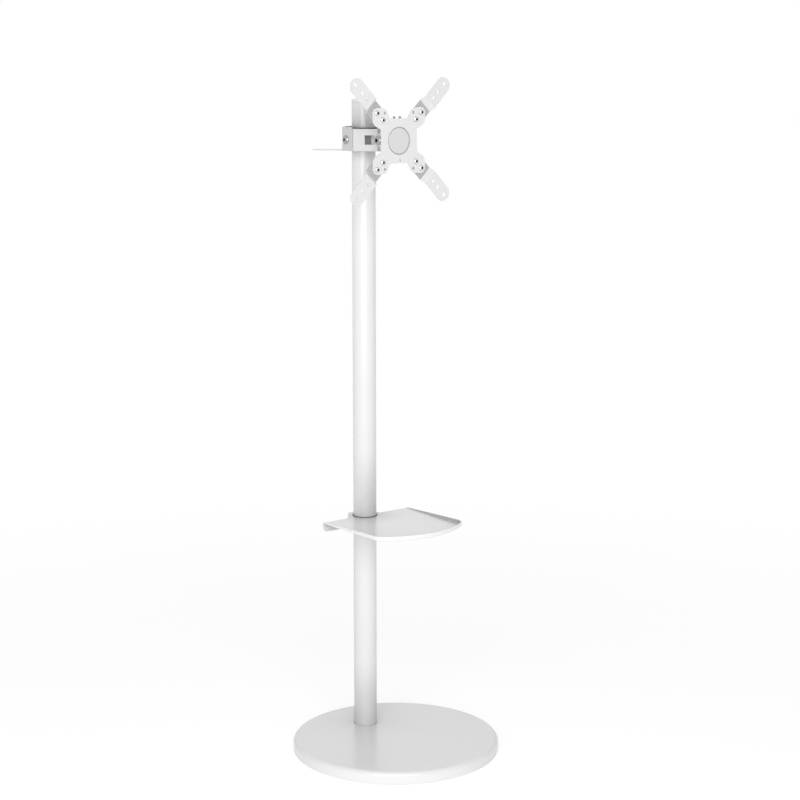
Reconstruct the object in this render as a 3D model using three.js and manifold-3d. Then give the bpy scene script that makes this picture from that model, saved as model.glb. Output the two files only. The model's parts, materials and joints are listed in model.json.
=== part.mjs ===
// A floor stand for a flat screen: a round weighted base, one upright pole, a shelf and a screen mount.
// Millimetres, +Z up, the front faces -Y. The origin is on the floor, under the centre of the round base.
import * as THREE from 'three';
import { mergeVertices } from 'three/addons/utils/BufferGeometryUtils.js';
import Module from 'manifold-3d';

const wasm = await Module();
wasm.setup();

// Clearances and cutting
const seatGap = 0.3; // between pieces that touch
const overrun = 2; // how far a cut runs past the face that it opens
const weldDistance = 1e-4; // corners closer than this are one corner

// Round weighted base
const baseRadius = 194;
const coverWall = 2.4;
const coverEdgeRadius = 8;
const coverFloorGap = 1.5;
const ballastThickness = 9;
const ballastEdgeGap = 0.6;
const padHeight = 5;
const padRadius = 12;
const padInset = 29; // from the base's edge in to the middle of a pad
const padCount = 6;
const flangeRadius = 55;
const flangeThickness = 6;
const flangeBoltCircle = 38;
const flangeBoltCount = 4;

// Pole
const poleRearRoom = 98; // from the pole's axis back to the edge of the base
const poleDiameter = 44;
const poleWall = 2;
const poleLength = 1190;
const capHeight = 4.7;
const capEdgeRadius = 1.5;
const capPlugLength = 14;
const capPlugWall = 2;

// Shelf
const shelfHeight = 435; // from the floor to the shelf's upper face
const shelfWidth = 200;
const shelfSheet = 1.8;
const shelfRimHeight = 6.4;
const shelfRimRearHeight = 1;
const shelfRimTaper = 150; // how far from the rear edge the rim keeps rising
const shelfRearEdge = 2; // the rear edge lies this far in front of the pole's axis
const shelfSideReach = 171; // from the pole's axis to the front corners
const shelfBow = 36; // how far the front edge bows out past its corners
const shelfCornerRadius = 22;
const shelfTabRadius = 33;
const shelfFlangeDrop = 18;
const shelfFlangeCorner = 9;
const shelfHoleGap = 1.6; // round the pole, filled by the bush
const bushLip = 1;
const collarWall = 5;
const collarHeight = 24;
const collarEarReach = 13;
const collarEarWidth = 6;
const collarSlit = 4;

// Mount: liner, clamp and the block in the clamp's nose
const mountDrop = 66.6; // from the pole's upper end down to the centre of the screen plate
const linerWall = 1.7;
const linerLip = 0.6;
const clampSheet = 2.5;
const clampHalfWidth = 49;
const clampDrop = 20.3; // from the mount's centre down to the clamp's lower edge
const yokeRise = 20;
const rearRise = 22.7;
const clampSideFront = 29;
const rearHalfWidth = 21;
const bendRadius = 4;
const noseReach = 62; // from the pole's axis to the front of the clamp's nose
const noseHalfWidth = 15;
const windowLength = 18.5;
const windowHeight = 16.8;
const windowSetback = 5; // from the nose's corner back along the slanted wall
const clampScrewReach = 12;
const saddleHalfWidth = 22;
const saddleDepth = 11;
const saddleInset = 1.3;
const blockHalfWidth = 10;
const blockHalfHeight = 13.5;
const tieTabLength = 58;
const tieTabWidth = 15;
const tieTabTipWidth = 8;
const tieTabThickness = 2;
const tieSlotLength = 10;
const tieSlotWidth = 3.5;

// Tilt joint
const tiltAxisGap = 10.5; // from the nose to the tilt axis
const forkHalfWidth = 14.5;
const forkSheet = 2.2;
const forkHalfHeight = 12;
const forkEndRadius = 9.5;
const headSheet = 2.5;
const headHalfHeight = 19.5;
const headEarRadius = 10.2;
const headEarShoulder = 4;
const headReach = 25.8; // from the tilt axis to the front of the head's web
const spacerRadius = 5.5;
const forkScrewRise = 8.5;

// Turning hub between the tilting head and the screen plate
const hubRadius = 31;
const hubThickness = 3;
const hubNeckRadius = 18;
const hubMiddleGap = 2; // round the hub's raised middle, inside the plate's hole
const hubMiddleSink = 1.2; // from the plate's front back to the hub's raised middle
const hubGrooveDepth = 1.4;
const retainerRim = 4.7;
const retainerLip = 2.3;
const retainerBoreGap = 2.5;
const stopLugSpread = 6.5;
const stopLugWidth = 4;
const stopLugReach = 43.5;

// Screen plate, drawn as it is seen from the front
const plateSheet = 2.5;
const plateWaist = 40;
const plateNotch = 20.5;
const plateHoleRadius = 25;
const innerHoleSpread = 37.5; // 75 mm square pattern
const outerHoleSpread = 50; // 100 mm square pattern
const lobeRadius = 9.5;
const lobeShoulder = 53;
const lobeShoulderOffset = 27;
const lobeCrown = 58.5;
const lobeCrownOffset = 34;
const spareHoleSpread = 32.3;
const spareHoleRise = 50;
const spareHoleRadius = 2.6;
const lockScrewDrop = 34;

// Screen arms
const armWidth = 30;
const armSheet = 2;
const armStep = 7.7; // how far the outer part stands in front of the inner part
const armStepStart = 87;
const armStepRun = 7;
const armEndSpread = 97; // centre of the round end, across and up
const armHoleRadius = 3.3;
const armEndHoleSpread = 100; // 200 mm square pattern
const armEndSlotTravel = 2;
const armMiddleHoleSpread = 85.4; // 200 by 100 mm pattern with the arms swung level
const armInnerHoleSpread = 75;

// Fasteners: head radius, head height, shank radius, socket size across its corners
const screwSizes = {
    arm: { head: 5.2, rise: 3.2, shank: 2.4, socket: 2.5, length: 7 },
    clamp: { head: 8.2, rise: 4.4, shank: 3.6, socket: 2.9, length: 13 },
    tilt: { head: 8.8, rise: 4.4, shank: 4, socket: 3.4, length: 50 },
    fork: { head: 4.4, rise: 2.8, shank: 2.2, socket: 1.6, length: 16 },
    hub: { head: 7, rise: 3.2, shank: 3.4, socket: 2.6, length: 8 },
    collar: { head: 4.6, rise: 2.9, shank: 2.4, socket: 1.8, length: 24 },
    base: { head: 7, rise: 3.4, shank: 3.8, socket: 2.9, length: 14 },
    lock: { head: 2.4, rise: 1.1, shank: 1.5, socket: 1, length: 4.6 },
};
const socketDepthShare = 0.7;
const nutHeight = 5;
const nutRadiusShare = 1.85;
const washerThickness = 1.2;
const washerRadius = 9;

// Facets
const discSides = 72;
const tubeSides = 36;
const holeSides = 12;
const smallSides = 8;
const hexSides = 6;
const bendSteps = 3;
const domeSteps = 3;

// Sizes that follow from the ones above
const poleRadius = poleDiameter / 2;
const ballastRadius = baseRadius - coverWall - ballastEdgeGap;
const padCircleRadius = baseRadius - padInset;
const poleSetback = baseRadius - poleRearRoom; // from the centre of the base back to the pole's axis
const flangeFoot = padHeight + ballastThickness + seatGap;
const flangeTop = flangeFoot + flangeThickness;
const coverCeiling = flangeTop + seatGap;
const baseHeight = coverCeiling + coverWall;
const poleFoot = flangeTop + seatGap;
const poleTop = poleFoot + poleLength;
const mountHeight = poleTop - mountDrop;
const bushOuter = poleRadius + shelfHoleGap - seatGap;
const linerInner = poleRadius + seatGap;
const linerOuter = linerInner + linerWall;
const yokeHalfWidth = clampHalfWidth - clampSheet - seatGap;
const tiltReach = noseReach + tiltAxisGap;
const webReach = tiltReach + headReach;
const retainerDepth = retainerLip + seatGap + hubThickness + seatGap;
const plateReach = webReach + seatGap + retainerDepth + plateSheet;
const retainerRadius = hubRadius + seatGap + retainerRim;

// Colours of the finishes
const powderWhite = { color: 0xe9e9e9, roughness: 0.35, metalness: 0 };
const nickel = { color: 0xc9c9cb, roughness: 0.25, metalness: 1 };
const steel = { color: 0x9a9a9c, roughness: 0.4, metalness: 1 };
const greyPlastic = { color: 0x6f7072, roughness: 0.6, metalness: 0 };
const whitePlastic = { color: 0xe4e4e2, roughness: 0.5, metalness: 0 };
const blackRubber = { color: 0x202020, roughness: 0.85, metalness: 0 };

// Turns a closed geometry into a solid, with its faces pointing out.
function solid(geometry) {
    const bare = geometry.clone();
    bare.deleteAttribute('normal');
    bare.deleteAttribute('uv');
    const merged = mergeVertices(bare, weldDistance);
    const vertProperties = new Float32Array(merged.attributes.position.array);
    const triVerts = new Uint32Array(merged.index.array);
    if (enclosedVolume(vertProperties, triVerts) < 0) {
        for (let i = 0; i < triVerts.length; i += 3) {
            [triVerts[i], triVerts[i + 1]] = [triVerts[i + 1], triVerts[i]];
        }
    }
    const mesh = new wasm.Mesh({ numProp: 3, vertProperties, triVerts });
    mesh.merge();
    return new wasm.Manifold(mesh);
}

// Signed volume of a triangle mesh, which is negative where its faces point inwards.
function enclosedVolume(positions, triangles) {
    const a = new THREE.Vector3();
    const b = new THREE.Vector3();
    const c = new THREE.Vector3();
    let sixfold = 0;
    for (let i = 0; i < triangles.length; i += 3) {
        a.fromArray(positions, 3 * triangles[i]);
        b.fromArray(positions, 3 * triangles[i + 1]);
        c.fromArray(positions, 3 * triangles[i + 2]);
        sixfold += a.dot(b.cross(c));
    }
    return sixfold / 6;
}

// Turns a solid back into a geometry.
function shell(body) {
    const { vertProperties, triVerts } = body.getMesh();
    const geometry = new THREE.BufferGeometry();
    geometry.setAttribute('position', new THREE.BufferAttribute(vertProperties, 3));
    geometry.setIndex(new THREE.BufferAttribute(triVerts, 1));
    return geometry;
}

// A named piece made of one solid.
function piece(name, body, finish) {
    const mesh = new THREE.Mesh(shell(body), new THREE.MeshStandardMaterial(finish));
    mesh.name = name;
    return mesh;
}

// A block between two opposite corners.
function block(low, high) {
    const geometry = new THREE.BoxGeometry(high[0] - low[0], high[1] - low[1], high[2] - low[2]);
    geometry.translate((low[0] + high[0]) / 2, (low[1] + high[1]) / 2, (low[2] + high[2]) / 2);
    return solid(geometry);
}

// A flat outline raised from one height to another.
function raised(shape, bottom, top, sides = holeSides) {
    const geometry = new THREE.ExtrudeGeometry(shape, {
        depth: top - bottom,
        bevelEnabled: false,
        curveSegments: sides,
    });
    geometry.translate(0, 0, bottom);
    return solid(geometry);
}

// A round bar along Z, centred on (x, y).
function bar(radius, bottom, top, sides = holeSides, x = 0, y = 0) {
    const geometry = new THREE.CylinderGeometry(radius, radius, top - bottom, sides);
    geometry.rotateX(Math.PI / 2);
    geometry.translate(x, y, (bottom + top) / 2);
    return solid(geometry);
}

// A profile of [radius, height] points turned about Z.
function turned(profile, sides) {
    const points = profile.map(([radius, height]) => new THREE.Vector2(radius, height));
    const geometry = new THREE.LatheGeometry(points, sides);
    geometry.rotateX(Math.PI / 2);
    return solid(geometry);
}

// A plain ring turned about Z.
function ring(inner, outer, bottom, top, sides = tubeSides) {
    return turned([[inner, bottom], [outer, bottom], [outer, top], [inner, top], [inner, bottom]], sides);
}

// The points of a quarter round from [radius, low] to [radius - r, low + r], as profile points.
function quarterRound(radius, low, r, steps = domeSteps) {
    const points = [];
    for (let i = 0; i <= steps; i++) {
        const angle = (i / steps) * (Math.PI / 2);
        points.push([radius - r + r * Math.cos(angle), low + r * Math.sin(angle)]);
    }
    return points;
}

// A polyline whose inner corners are rounded.
function roundedPath(corners, radius) {
    const path = [new THREE.Vector2(...corners[0])];
    for (let i = 1; i < corners.length - 1; i++) {
        const corner = new THREE.Vector2(...corners[i]);
        const back = new THREE.Vector2(...corners[i - 1]).sub(corner).normalize();
        const ahead = new THREE.Vector2(...corners[i + 1]).sub(corner).normalize();
        const half = Math.acos(THREE.MathUtils.clamp(back.dot(ahead), -1, 1)) / 2;
        const centre = back.clone().add(ahead).normalize().multiplyScalar(radius / Math.sin(half)).add(corner);
        const from = back.multiplyScalar(radius / Math.tan(half)).add(corner).sub(centre);
        const to = ahead.multiplyScalar(radius / Math.tan(half)).add(corner).sub(centre);
        const turn = Math.atan2(from.cross(to), from.dot(to));
        for (let step = 0; step <= bendSteps; step++) {
            const spoke = from.clone().rotateAround(new THREE.Vector2(), (turn * step) / bendSteps);
            path.push(spoke.add(centre));
        }
    }
    path.push(new THREE.Vector2(...corners[corners.length - 1]));
    return path;
}

// The outline of a bent strip: its outer face follows the corners, its thickness lies to their left.
function stripShape(corners, radius, thickness) {
    const outer = roundedPath(corners, radius);
    const inner = outer.map((point, i) => {
        const before = outer[Math.max(i - 1, 0)];
        const after = outer[Math.min(i + 1, outer.length - 1)];
        const run = i === 0 ? after.clone().sub(point) : point.clone().sub(before);
        const next = i === outer.length - 1 ? run : after.clone().sub(point);
        const left = new THREE.Vector2(-run.y, run.x).normalize();
        const leftNext = new THREE.Vector2(-next.y, next.x).normalize();
        const mitre = left.clone().add(leftNext).normalize();
        return mitre.multiplyScalar(thickness / mitre.dot(left)).add(point);
    });
    return new THREE.Shape([...outer, ...inner.reverse()]);
}

// A button-head screw along Z: the head rises from zero, the shank hangs below it.
function buttonScrew({ head, rise, shank, socket, length }) {
    const dome = [];
    for (let i = 0; i <= domeSteps; i++) {
        const angle = (i / domeSteps) * (Math.PI / 2);
        dome.push([head * Math.cos(angle), rise * Math.sin(angle)]);
    }
    const body = turned([[0, -length], [shank, -length], [shank, 0], ...dome], holeSides);
    return body.subtract(bar(socket, rise * (1 - socketDepthShare), rise + overrun, hexSides));
}

// A hexagon nut along Z from zero up, for a screw of the given size.
function hexNut({ shank }) {
    const hole = bar(shank + seatGap, -overrun, nutHeight + overrun, holeSides);
    return bar(shank * nutRadiusShare, 0, nutHeight, hexSides).subtract(hole);
}

// Turns a solid made along Z so that its Z runs along the given direction.
function along(body, x, y, z) {
    const geometry = shell(body);
    const turn = new THREE.Quaternion().setFromUnitVectors(
        new THREE.Vector3(0, 0, 1),
        new THREE.Vector3(x, y, z).normalize(),
    );
    geometry.applyQuaternion(turn);
    return solid(geometry);
}

// Cuts several solids out of one.
function cut(body, tools) {
    return tools.reduce((left, tool) => left.subtract(tool), body);
}

// The places of n things spread evenly on a circle.
function circlePlaces(count, radius, start = 0) {
    return Array.from({ length: count }, (_, i) => {
        const angle = start + (i * 2 * Math.PI) / count;
        return [radius * Math.cos(angle), radius * Math.sin(angle)];
    });
}

// The base: a pressed cover over a heavy plate on round pads.
function makeBase() {
    const base = new THREE.Group();
    const inner = baseRadius - coverWall;
    const innerEdge = coverEdgeRadius - coverWall;
    const profile = [
        [0, coverCeiling],
        ...quarterRound(inner, coverCeiling - innerEdge, innerEdge).reverse(),
        [inner, coverFloorGap],
        [baseRadius, coverFloorGap],
        ...quarterRound(baseRadius, baseHeight - coverEdgeRadius, coverEdgeRadius),
        [0, baseHeight],
    ];
    const poleHole = bar(poleRadius + seatGap, flangeFoot, baseHeight + overrun, tubeSides, 0, poleSetback);
    base.add(piece('base_cover', turned(profile, discSides).subtract(poleHole), powderWhite));

    const ballastFoot = padHeight;
    const ballastTop = ballastFoot + ballastThickness;
    const boltPlaces = circlePlaces(flangeBoltCount, flangeBoltCircle, Math.PI / 4);
    const boltHoles = boltPlaces.map(([x, y]) => {
        const radius = screwSizes.base.shank + seatGap;
        return bar(radius, -overrun, baseHeight, smallSides, x, y + poleSetback);
    });
    const ballast = cut(bar(ballastRadius, ballastFoot, ballastTop, discSides), boltHoles);
    base.add(piece('ballast_plate', ballast, steel));

    const flange = cut(bar(flangeRadius, flangeFoot, flangeTop, tubeSides, 0, poleSetback), boltHoles);
    base.add(piece('pole_foot_flange', flange, steel));

    boltPlaces.forEach(([x, y], i) => {
        const bolt = piece(`foot_bolt_${i + 1}`, along(buttonScrew(screwSizes.base), 0, 0, -1), nickel);
        bolt.position.set(x, y + poleSetback, ballastFoot - seatGap);
        base.add(bolt);
    });

    const pad = turned([[0, 0], [padRadius, 0], [padRadius, padHeight - seatGap], [0, padHeight - seatGap]], holeSides);
    [[0, 0], ...circlePlaces(padCount, padCircleRadius)].forEach(([x, y], i) => {
        const mesh = piece(i === 0 ? 'floor_pad_centre' : `floor_pad_${i}`, pad, blackRubber);
        mesh.position.set(x, y, 0);
        base.add(mesh);
    });
    return base;
}

// The pole: one tube on the foot flange, with a plug-in cap.
function makePole() {
    const pole = new THREE.Group();
    pole.add(piece('pole_tube', ring(poleRadius - poleWall, poleRadius, poleFoot, poleTop), powderWhite));
    const plugRadius = poleRadius - poleWall - seatGap;
    const capFoot = poleTop + seatGap;
    const cap = turned(
        [
            [plugRadius - capPlugWall, capFoot - capPlugLength],
            [plugRadius, capFoot - capPlugLength],
            [plugRadius, capFoot],
            [poleRadius, capFoot],
            ...quarterRound(poleRadius, capFoot + capHeight - capEdgeRadius, capEdgeRadius),
            [0, capFoot + capHeight],
            [0, capFoot],
            [plugRadius - capPlugWall, capFoot],
            [plugRadius - capPlugWall, capFoot - capPlugLength],
        ],
        tubeSides,
    );
    pole.add(piece('pole_cap', cap, whitePlastic));
    return pole;
}

// The shelf's outline, set in from its edge, seen from above with the pole's axis at the origin.
function shelfOutline(inset, rearOverrun) {
    const half = shelfWidth / 2 - inset;
    const rear = -shelfRearEdge + rearOverrun;
    const bowRadius = ((shelfWidth / 2) ** 2 + shelfBow ** 2) / (2 * shelfBow);
    const bowCentre = -(shelfSideReach + shelfBow) + bowRadius;
    const frontRadius = bowRadius - inset;
    const cornerRadius = shelfCornerRadius - inset;
    const cornerX = half - cornerRadius;
    const cornerY = bowCentre - Math.sqrt((frontRadius - cornerRadius) ** 2 - cornerX ** 2);
    const cornerTurn = Math.atan2(cornerY - bowCentre, cornerX);
    const shape = new THREE.Shape();
    shape.moveTo(half, rear);
    shape.lineTo(-half, rear);
    shape.lineTo(-half, cornerY);
    shape.absarc(-cornerX, cornerY, cornerRadius, Math.PI, Math.PI - cornerTurn, false);
    shape.absarc(0, bowCentre, frontRadius, Math.PI - cornerTurn, 2 * Math.PI + cornerTurn, false);
    shape.absarc(cornerX, cornerY, cornerRadius, cornerTurn, 0, false);
    shape.lineTo(half, rear);
    return shape;
}

// The shelf: a steel tray with a low rim, a flange down its rear edge, and a collar that grips the pole.
function makeShelf() {
    const shelf = new THREE.Group();
    const half = shelfWidth / 2;
    const floor = -shelfSheet;
    const tab = bar(shelfTabRadius, floor, 0, tubeSides);
    const tray = raised(shelfOutline(0, 0), floor, shelfRimHeight).add(tab);
    const hollow = raised(shelfOutline(shelfSheet, overrun), 0, shelfRimHeight + overrun);
    const taper = new THREE.Shape([
        new THREE.Vector2(-shelfRearEdge + overrun, shelfRimRearHeight),
        new THREE.Vector2(-shelfRearEdge + overrun, shelfRimHeight + overrun),
        new THREE.Vector2(-shelfRearEdge - shelfRimTaper, shelfRimHeight + overrun),
        new THREE.Vector2(-shelfRearEdge - shelfRimTaper, shelfRimHeight),
        new THREE.Vector2(-shelfRearEdge, shelfRimRearHeight),
    ]);
    const taperCut = sideProfile(taper, -half - overrun, half + overrun);
    const rearFace = -shelfRearEdge;
    const drop = -shelfFlangeDrop;
    const flangeShape = new THREE.Shape();
    flangeShape.moveTo(-half, floor);
    flangeShape.lineTo(-half, drop + shelfFlangeCorner);
    flangeShape.absarc(-half + shelfFlangeCorner, drop + shelfFlangeCorner, shelfFlangeCorner, Math.PI, 1.5 * Math.PI);
    flangeShape.lineTo(half - shelfFlangeCorner, drop);
    flangeShape.absarc(half - shelfFlangeCorner, drop + shelfFlangeCorner, shelfFlangeCorner, -Math.PI / 2, 0);
    flangeShape.lineTo(half, floor);
    flangeShape.lineTo(-half, floor);
    const flangeTurned = solid(
        new THREE.ExtrudeGeometry(flangeShape, { depth: shelfSheet, bevelEnabled: false, curveSegments: bendSteps })
            .rotateX(Math.PI / 2)
            .translate(0, rearFace, 0),
    );
    const collarRoom = poleRadius + shelfHoleGap + collarWall + 2 * seatGap;
    const collarCut = bar(collarRoom, drop - overrun, floor, tubeSides);
    const hole = bar(poleRadius + shelfHoleGap, floor - overrun, shelfRimHeight + overrun, tubeSides);
    const body = cut(tray, [hollow, taperCut]).add(flangeTurned.subtract(collarCut)).subtract(hole);
    shelf.add(piece('shelf_tray', body, powderWhite));

    const collarTop = floor - seatGap;
    const collarFoot = collarTop - collarHeight;
    const collarInner = bushOuter + seatGap;
    const collarOuter = collarInner + collarWall;
    const earFront = collarInner + collarWall / 2;
    const earRear = collarOuter + collarEarReach;
    const earHalf = collarSlit / 2 + collarEarWidth;
    const ears = block([-earHalf, earFront, collarFoot], [earHalf, earRear, collarTop]);
    const slit = block(
        [-collarSlit / 2, 0, collarFoot - overrun],
        [collarSlit / 2, earRear + overrun, collarTop + overrun],
    );
    const collarBore = bar(collarInner, collarFoot - overrun, collarTop + overrun, tubeSides);
    const screwY = collarOuter + collarEarReach / 2;
    const screwZ = (collarFoot + collarTop) / 2;
    const screwHole = acrossBar(screwSizes.collar.shank + seatGap, half, screwY, screwZ);
    const collar = bar(collarOuter, collarFoot, collarTop, tubeSides).add(ears);
    shelf.add(piece('shelf_collar', cut(collar, [collarBore, slit, screwHole]), powderWhite));

    const screw = piece('shelf_collar_screw', along(buttonScrew(screwSizes.collar), 1, 0, 0), nickel);
    screw.position.set(earHalf + seatGap, screwY, screwZ);
    const nut = piece('shelf_collar_nut', along(hexNut(screwSizes.collar), -1, 0, 0), nickel);
    nut.position.set(-earHalf - seatGap, screwY, screwZ);
    shelf.add(screw, nut);
    return shelf;
}

// The bush that lines the shelf's hole and collar and slides on the pole.
function makeShelfBush() {
    const top = bushLip;
    const foot = -shelfSheet - seatGap - collarHeight - bushLip;
    return piece('shelf_bush', ring(poleRadius + seatGap, bushOuter, foot, top), greyPlastic);
}

// The liner that slides on the pole inside the clamp.
function makeLiner() {
    return piece('mount_liner', ring(linerInner, linerOuter, -clampDrop - linerLip, yokeRise + linerLip), greyPlastic);
}

// The clamp: a front yoke and a rear half, screwed together at both sides of the pole.
function makeClamp() {
    const clamp = new THREE.Group();
    const slant = new THREE.Vector2(yokeHalfWidth - noseHalfWidth, noseReach - clampSideFront);
    const slantLength = slant.length();
    const slantDirection = slant.clone().normalize();
    const yokePath = [
        [-yokeHalfWidth, -bendRadius],
        [-yokeHalfWidth, -clampSideFront],
        [-noseHalfWidth, -noseReach],
        [noseHalfWidth, -noseReach],
        [yokeHalfWidth, -clampSideFront],
        [yokeHalfWidth, -bendRadius],
    ];
    const yokeBlank = raised(stripShape(yokePath, bendRadius, clampSheet), -clampDrop, yokeRise);
    const windowMiddle = windowSetback + windowLength / 2;
    const windows = [-1, 1].map((side) => {
        const opening = new THREE.BoxGeometry(windowLength, 2 * (clampSheet + overrun), windowHeight);
        opening.rotateZ(-side * Math.atan2(slantDirection.y, -slantDirection.x));
        const across = noseHalfWidth + windowMiddle * slantDirection.x;
        const ahead = noseReach - windowMiddle * slantDirection.y;
        opening.translate(side * across, -ahead, 0);
        return solid(opening);
    });
    const sideHole = acrossBar(screwSizes.clamp.shank + seatGap, clampHalfWidth + overrun, -clampScrewReach);
    const forkHoles = forkScrewHoles();
    clamp.add(piece('clamp_yoke', cut(yokeBlank, [...windows, sideHole, ...forkHoles]), powderWhite));

    const rearReach = linerOuter + seatGap + clampSheet;
    const rearPath = [
        [clampHalfWidth, -clampSideFront],
        [clampHalfWidth, 0],
        [rearHalfWidth, rearReach],
        [-rearHalfWidth, rearReach],
        [-clampHalfWidth, 0],
        [-clampHalfWidth, -clampSideFront],
    ];
    const rearBlank = raised(stripShape(rearPath, bendRadius, clampSheet), -clampDrop, rearRise);
    const rearRun = new THREE.Vector2(clampHalfWidth - rearHalfWidth, rearReach);
    const tabs = [-1, 1].map((side) => {
        const tip = tieTabTipWidth / 2;
        const root = tieTabWidth / 2;
        const shape = new THREE.Shape();
        shape.moveTo(0, -root);
        shape.lineTo(tieTabLength - tip, -tip);
        shape.absarc(tieTabLength - tip, 0, tip, -Math.PI / 2, Math.PI / 2);
        shape.lineTo(0, root);
        shape.lineTo(0, -root);
        const slotEnd = tieTabLength - tieTabTipWidth;
        const slot = block(
            [slotEnd - tieSlotLength, -tieSlotWidth / 2, -tieTabThickness],
            [slotEnd, tieSlotWidth / 2, 2 * tieTabThickness],
        );
        const flat = shell(raised(shape, 0, tieTabThickness, bendSteps).subtract(slot));
        const outward = Math.atan2(rearRun.x, side * rearRun.y);
        const rootX = side * (clampHalfWidth - (root + bendRadius) * rearRun.x / rearRun.length());
        const rootY = (root + bendRadius) * rearRun.y / rearRun.length() - clampSheet;
        flat.rotateZ(outward);
        flat.translate(rootX, rootY, -clampDrop);
        return solid(flat);
    });
    const rearHalf = tabs.reduce((body, tab) => body.add(tab), rearBlank).subtract(sideHole);
    clamp.add(piece('clamp_rear', rearHalf, powderWhite));

    [-1, 1].forEach((side) => {
        const label = side < 0 ? 'left' : 'right';
        const screw = piece(`clamp_screw_${label}`, along(buttonScrew(screwSizes.clamp), side, 0, 0), nickel);
        screw.position.set(side * (clampHalfWidth + seatGap), -clampScrewReach, 0);
        const nut = piece(`clamp_nut_${label}`, along(hexNut(screwSizes.clamp), -side, 0, 0), nickel);
        nut.position.set(side * (yokeHalfWidth - clampSheet - seatGap), -clampScrewReach, 0);
        clamp.add(screw, nut);
    });

    const saddleFront = linerOuter + saddleDepth;
    const saddle = block(
        [-saddleHalfWidth, -saddleFront, -clampDrop + saddleInset],
        [saddleHalfWidth, -linerOuter / 2, yokeRise - saddleInset],
    );
    const saddleBore = bar(linerOuter + seatGap, -clampDrop - overrun, yokeRise + overrun, tubeSides);
    clamp.add(piece('clamp_saddle', saddle.subtract(saddleBore), greyPlastic));

    const noseBlock = block(
        [-blockHalfWidth, -noseReach + clampSheet + seatGap, -blockHalfHeight],
        [blockHalfWidth, -saddleFront - seatGap, blockHalfHeight],
    );
    clamp.add(piece('nose_block', cut(noseBlock, forkHoles), whitePlastic));
    return clamp;
}

// The fork on the clamp's nose that carries the tilt bolt's spacer.
function makeTiltFork() {
    const fork = new THREE.Group();
    const back = -noseReach - seatGap;
    const outer = forkHalfWidth + forkSheet;
    const end = forkEndRadius;
    const ear = new THREE.Shape();
    ear.moveTo(back, -forkHalfHeight);
    ear.lineTo(back, forkHalfHeight);
    ear.lineTo(-tiltReach, end);
    ear.absarc(-tiltReach, 0, end, Math.PI / 2, 1.5 * Math.PI);
    ear.lineTo(back, -forkHalfHeight);
    const blank = sideProfile(ear, -outer, outer);
    const inside = block(
        [-forkHalfWidth, -tiltReach - end - overrun, -forkHalfHeight - overrun],
        [forkHalfWidth, back - forkSheet, forkHalfHeight + overrun],
    );
    const pivot = acrossBar(screwSizes.tilt.shank + seatGap, outer + overrun, -tiltReach);
    fork.add(piece('tilt_fork', cut(blank, [inside, pivot, ...forkScrewHoles()]), powderWhite));

    [-1, 1].forEach((side) => {
        const label = side < 0 ? 'lower' : 'upper';
        const screw = piece(`fork_screw_${label}`, along(buttonScrew(screwSizes.fork), 0, -1, 0), nickel);
        screw.position.set(0, back - forkSheet - seatGap, side * forkScrewRise);
        fork.add(screw);
    });

    const spacerHalf = forkHalfWidth - seatGap;
    const spacer = ring(screwSizes.tilt.shank + seatGap, spacerRadius, -spacerHalf, spacerHalf, holeSides);
    const spacerMesh = piece('tilt_spacer', along(spacer, 1, 0, 0), steel);
    spacerMesh.position.set(0, -tiltReach, 0);
    fork.add(spacerMesh);
    return fork;
}

// A profile drawn in the YZ plane and run across from one X to another.
function sideProfile(shape, low, high) {
    const geometry = new THREE.ExtrudeGeometry(shape, {
        depth: high - low,
        bevelEnabled: false,
        curveSegments: holeSides / 2,
    });
    geometry.translate(0, 0, low);
    geometry.applyMatrix4(
        new THREE.Matrix4().makeBasis(
            new THREE.Vector3(0, 1, 0),
            new THREE.Vector3(0, 0, 1),
            new THREE.Vector3(1, 0, 0),
        ),
    );
    return solid(geometry);
}

// A round bar across X at the given place.
function acrossBar(radius, halfLength, y, z = 0) {
    return solid(shell(along(bar(radius, -halfLength, halfLength), 1, 0, 0)).translate(0, y, z));
}

// The holes for the fork's two screws, from the pole's axis as far as the tilt axis.
function forkScrewHoles() {
    return [-1, 1].map((side) => {
        const hole = bar(screwSizes.fork.shank + seatGap, 0, tiltReach, smallSides);
        return solid(shell(along(hole, 0, -1, 0)).translate(0, 0, side * forkScrewRise));
    });
}

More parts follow.
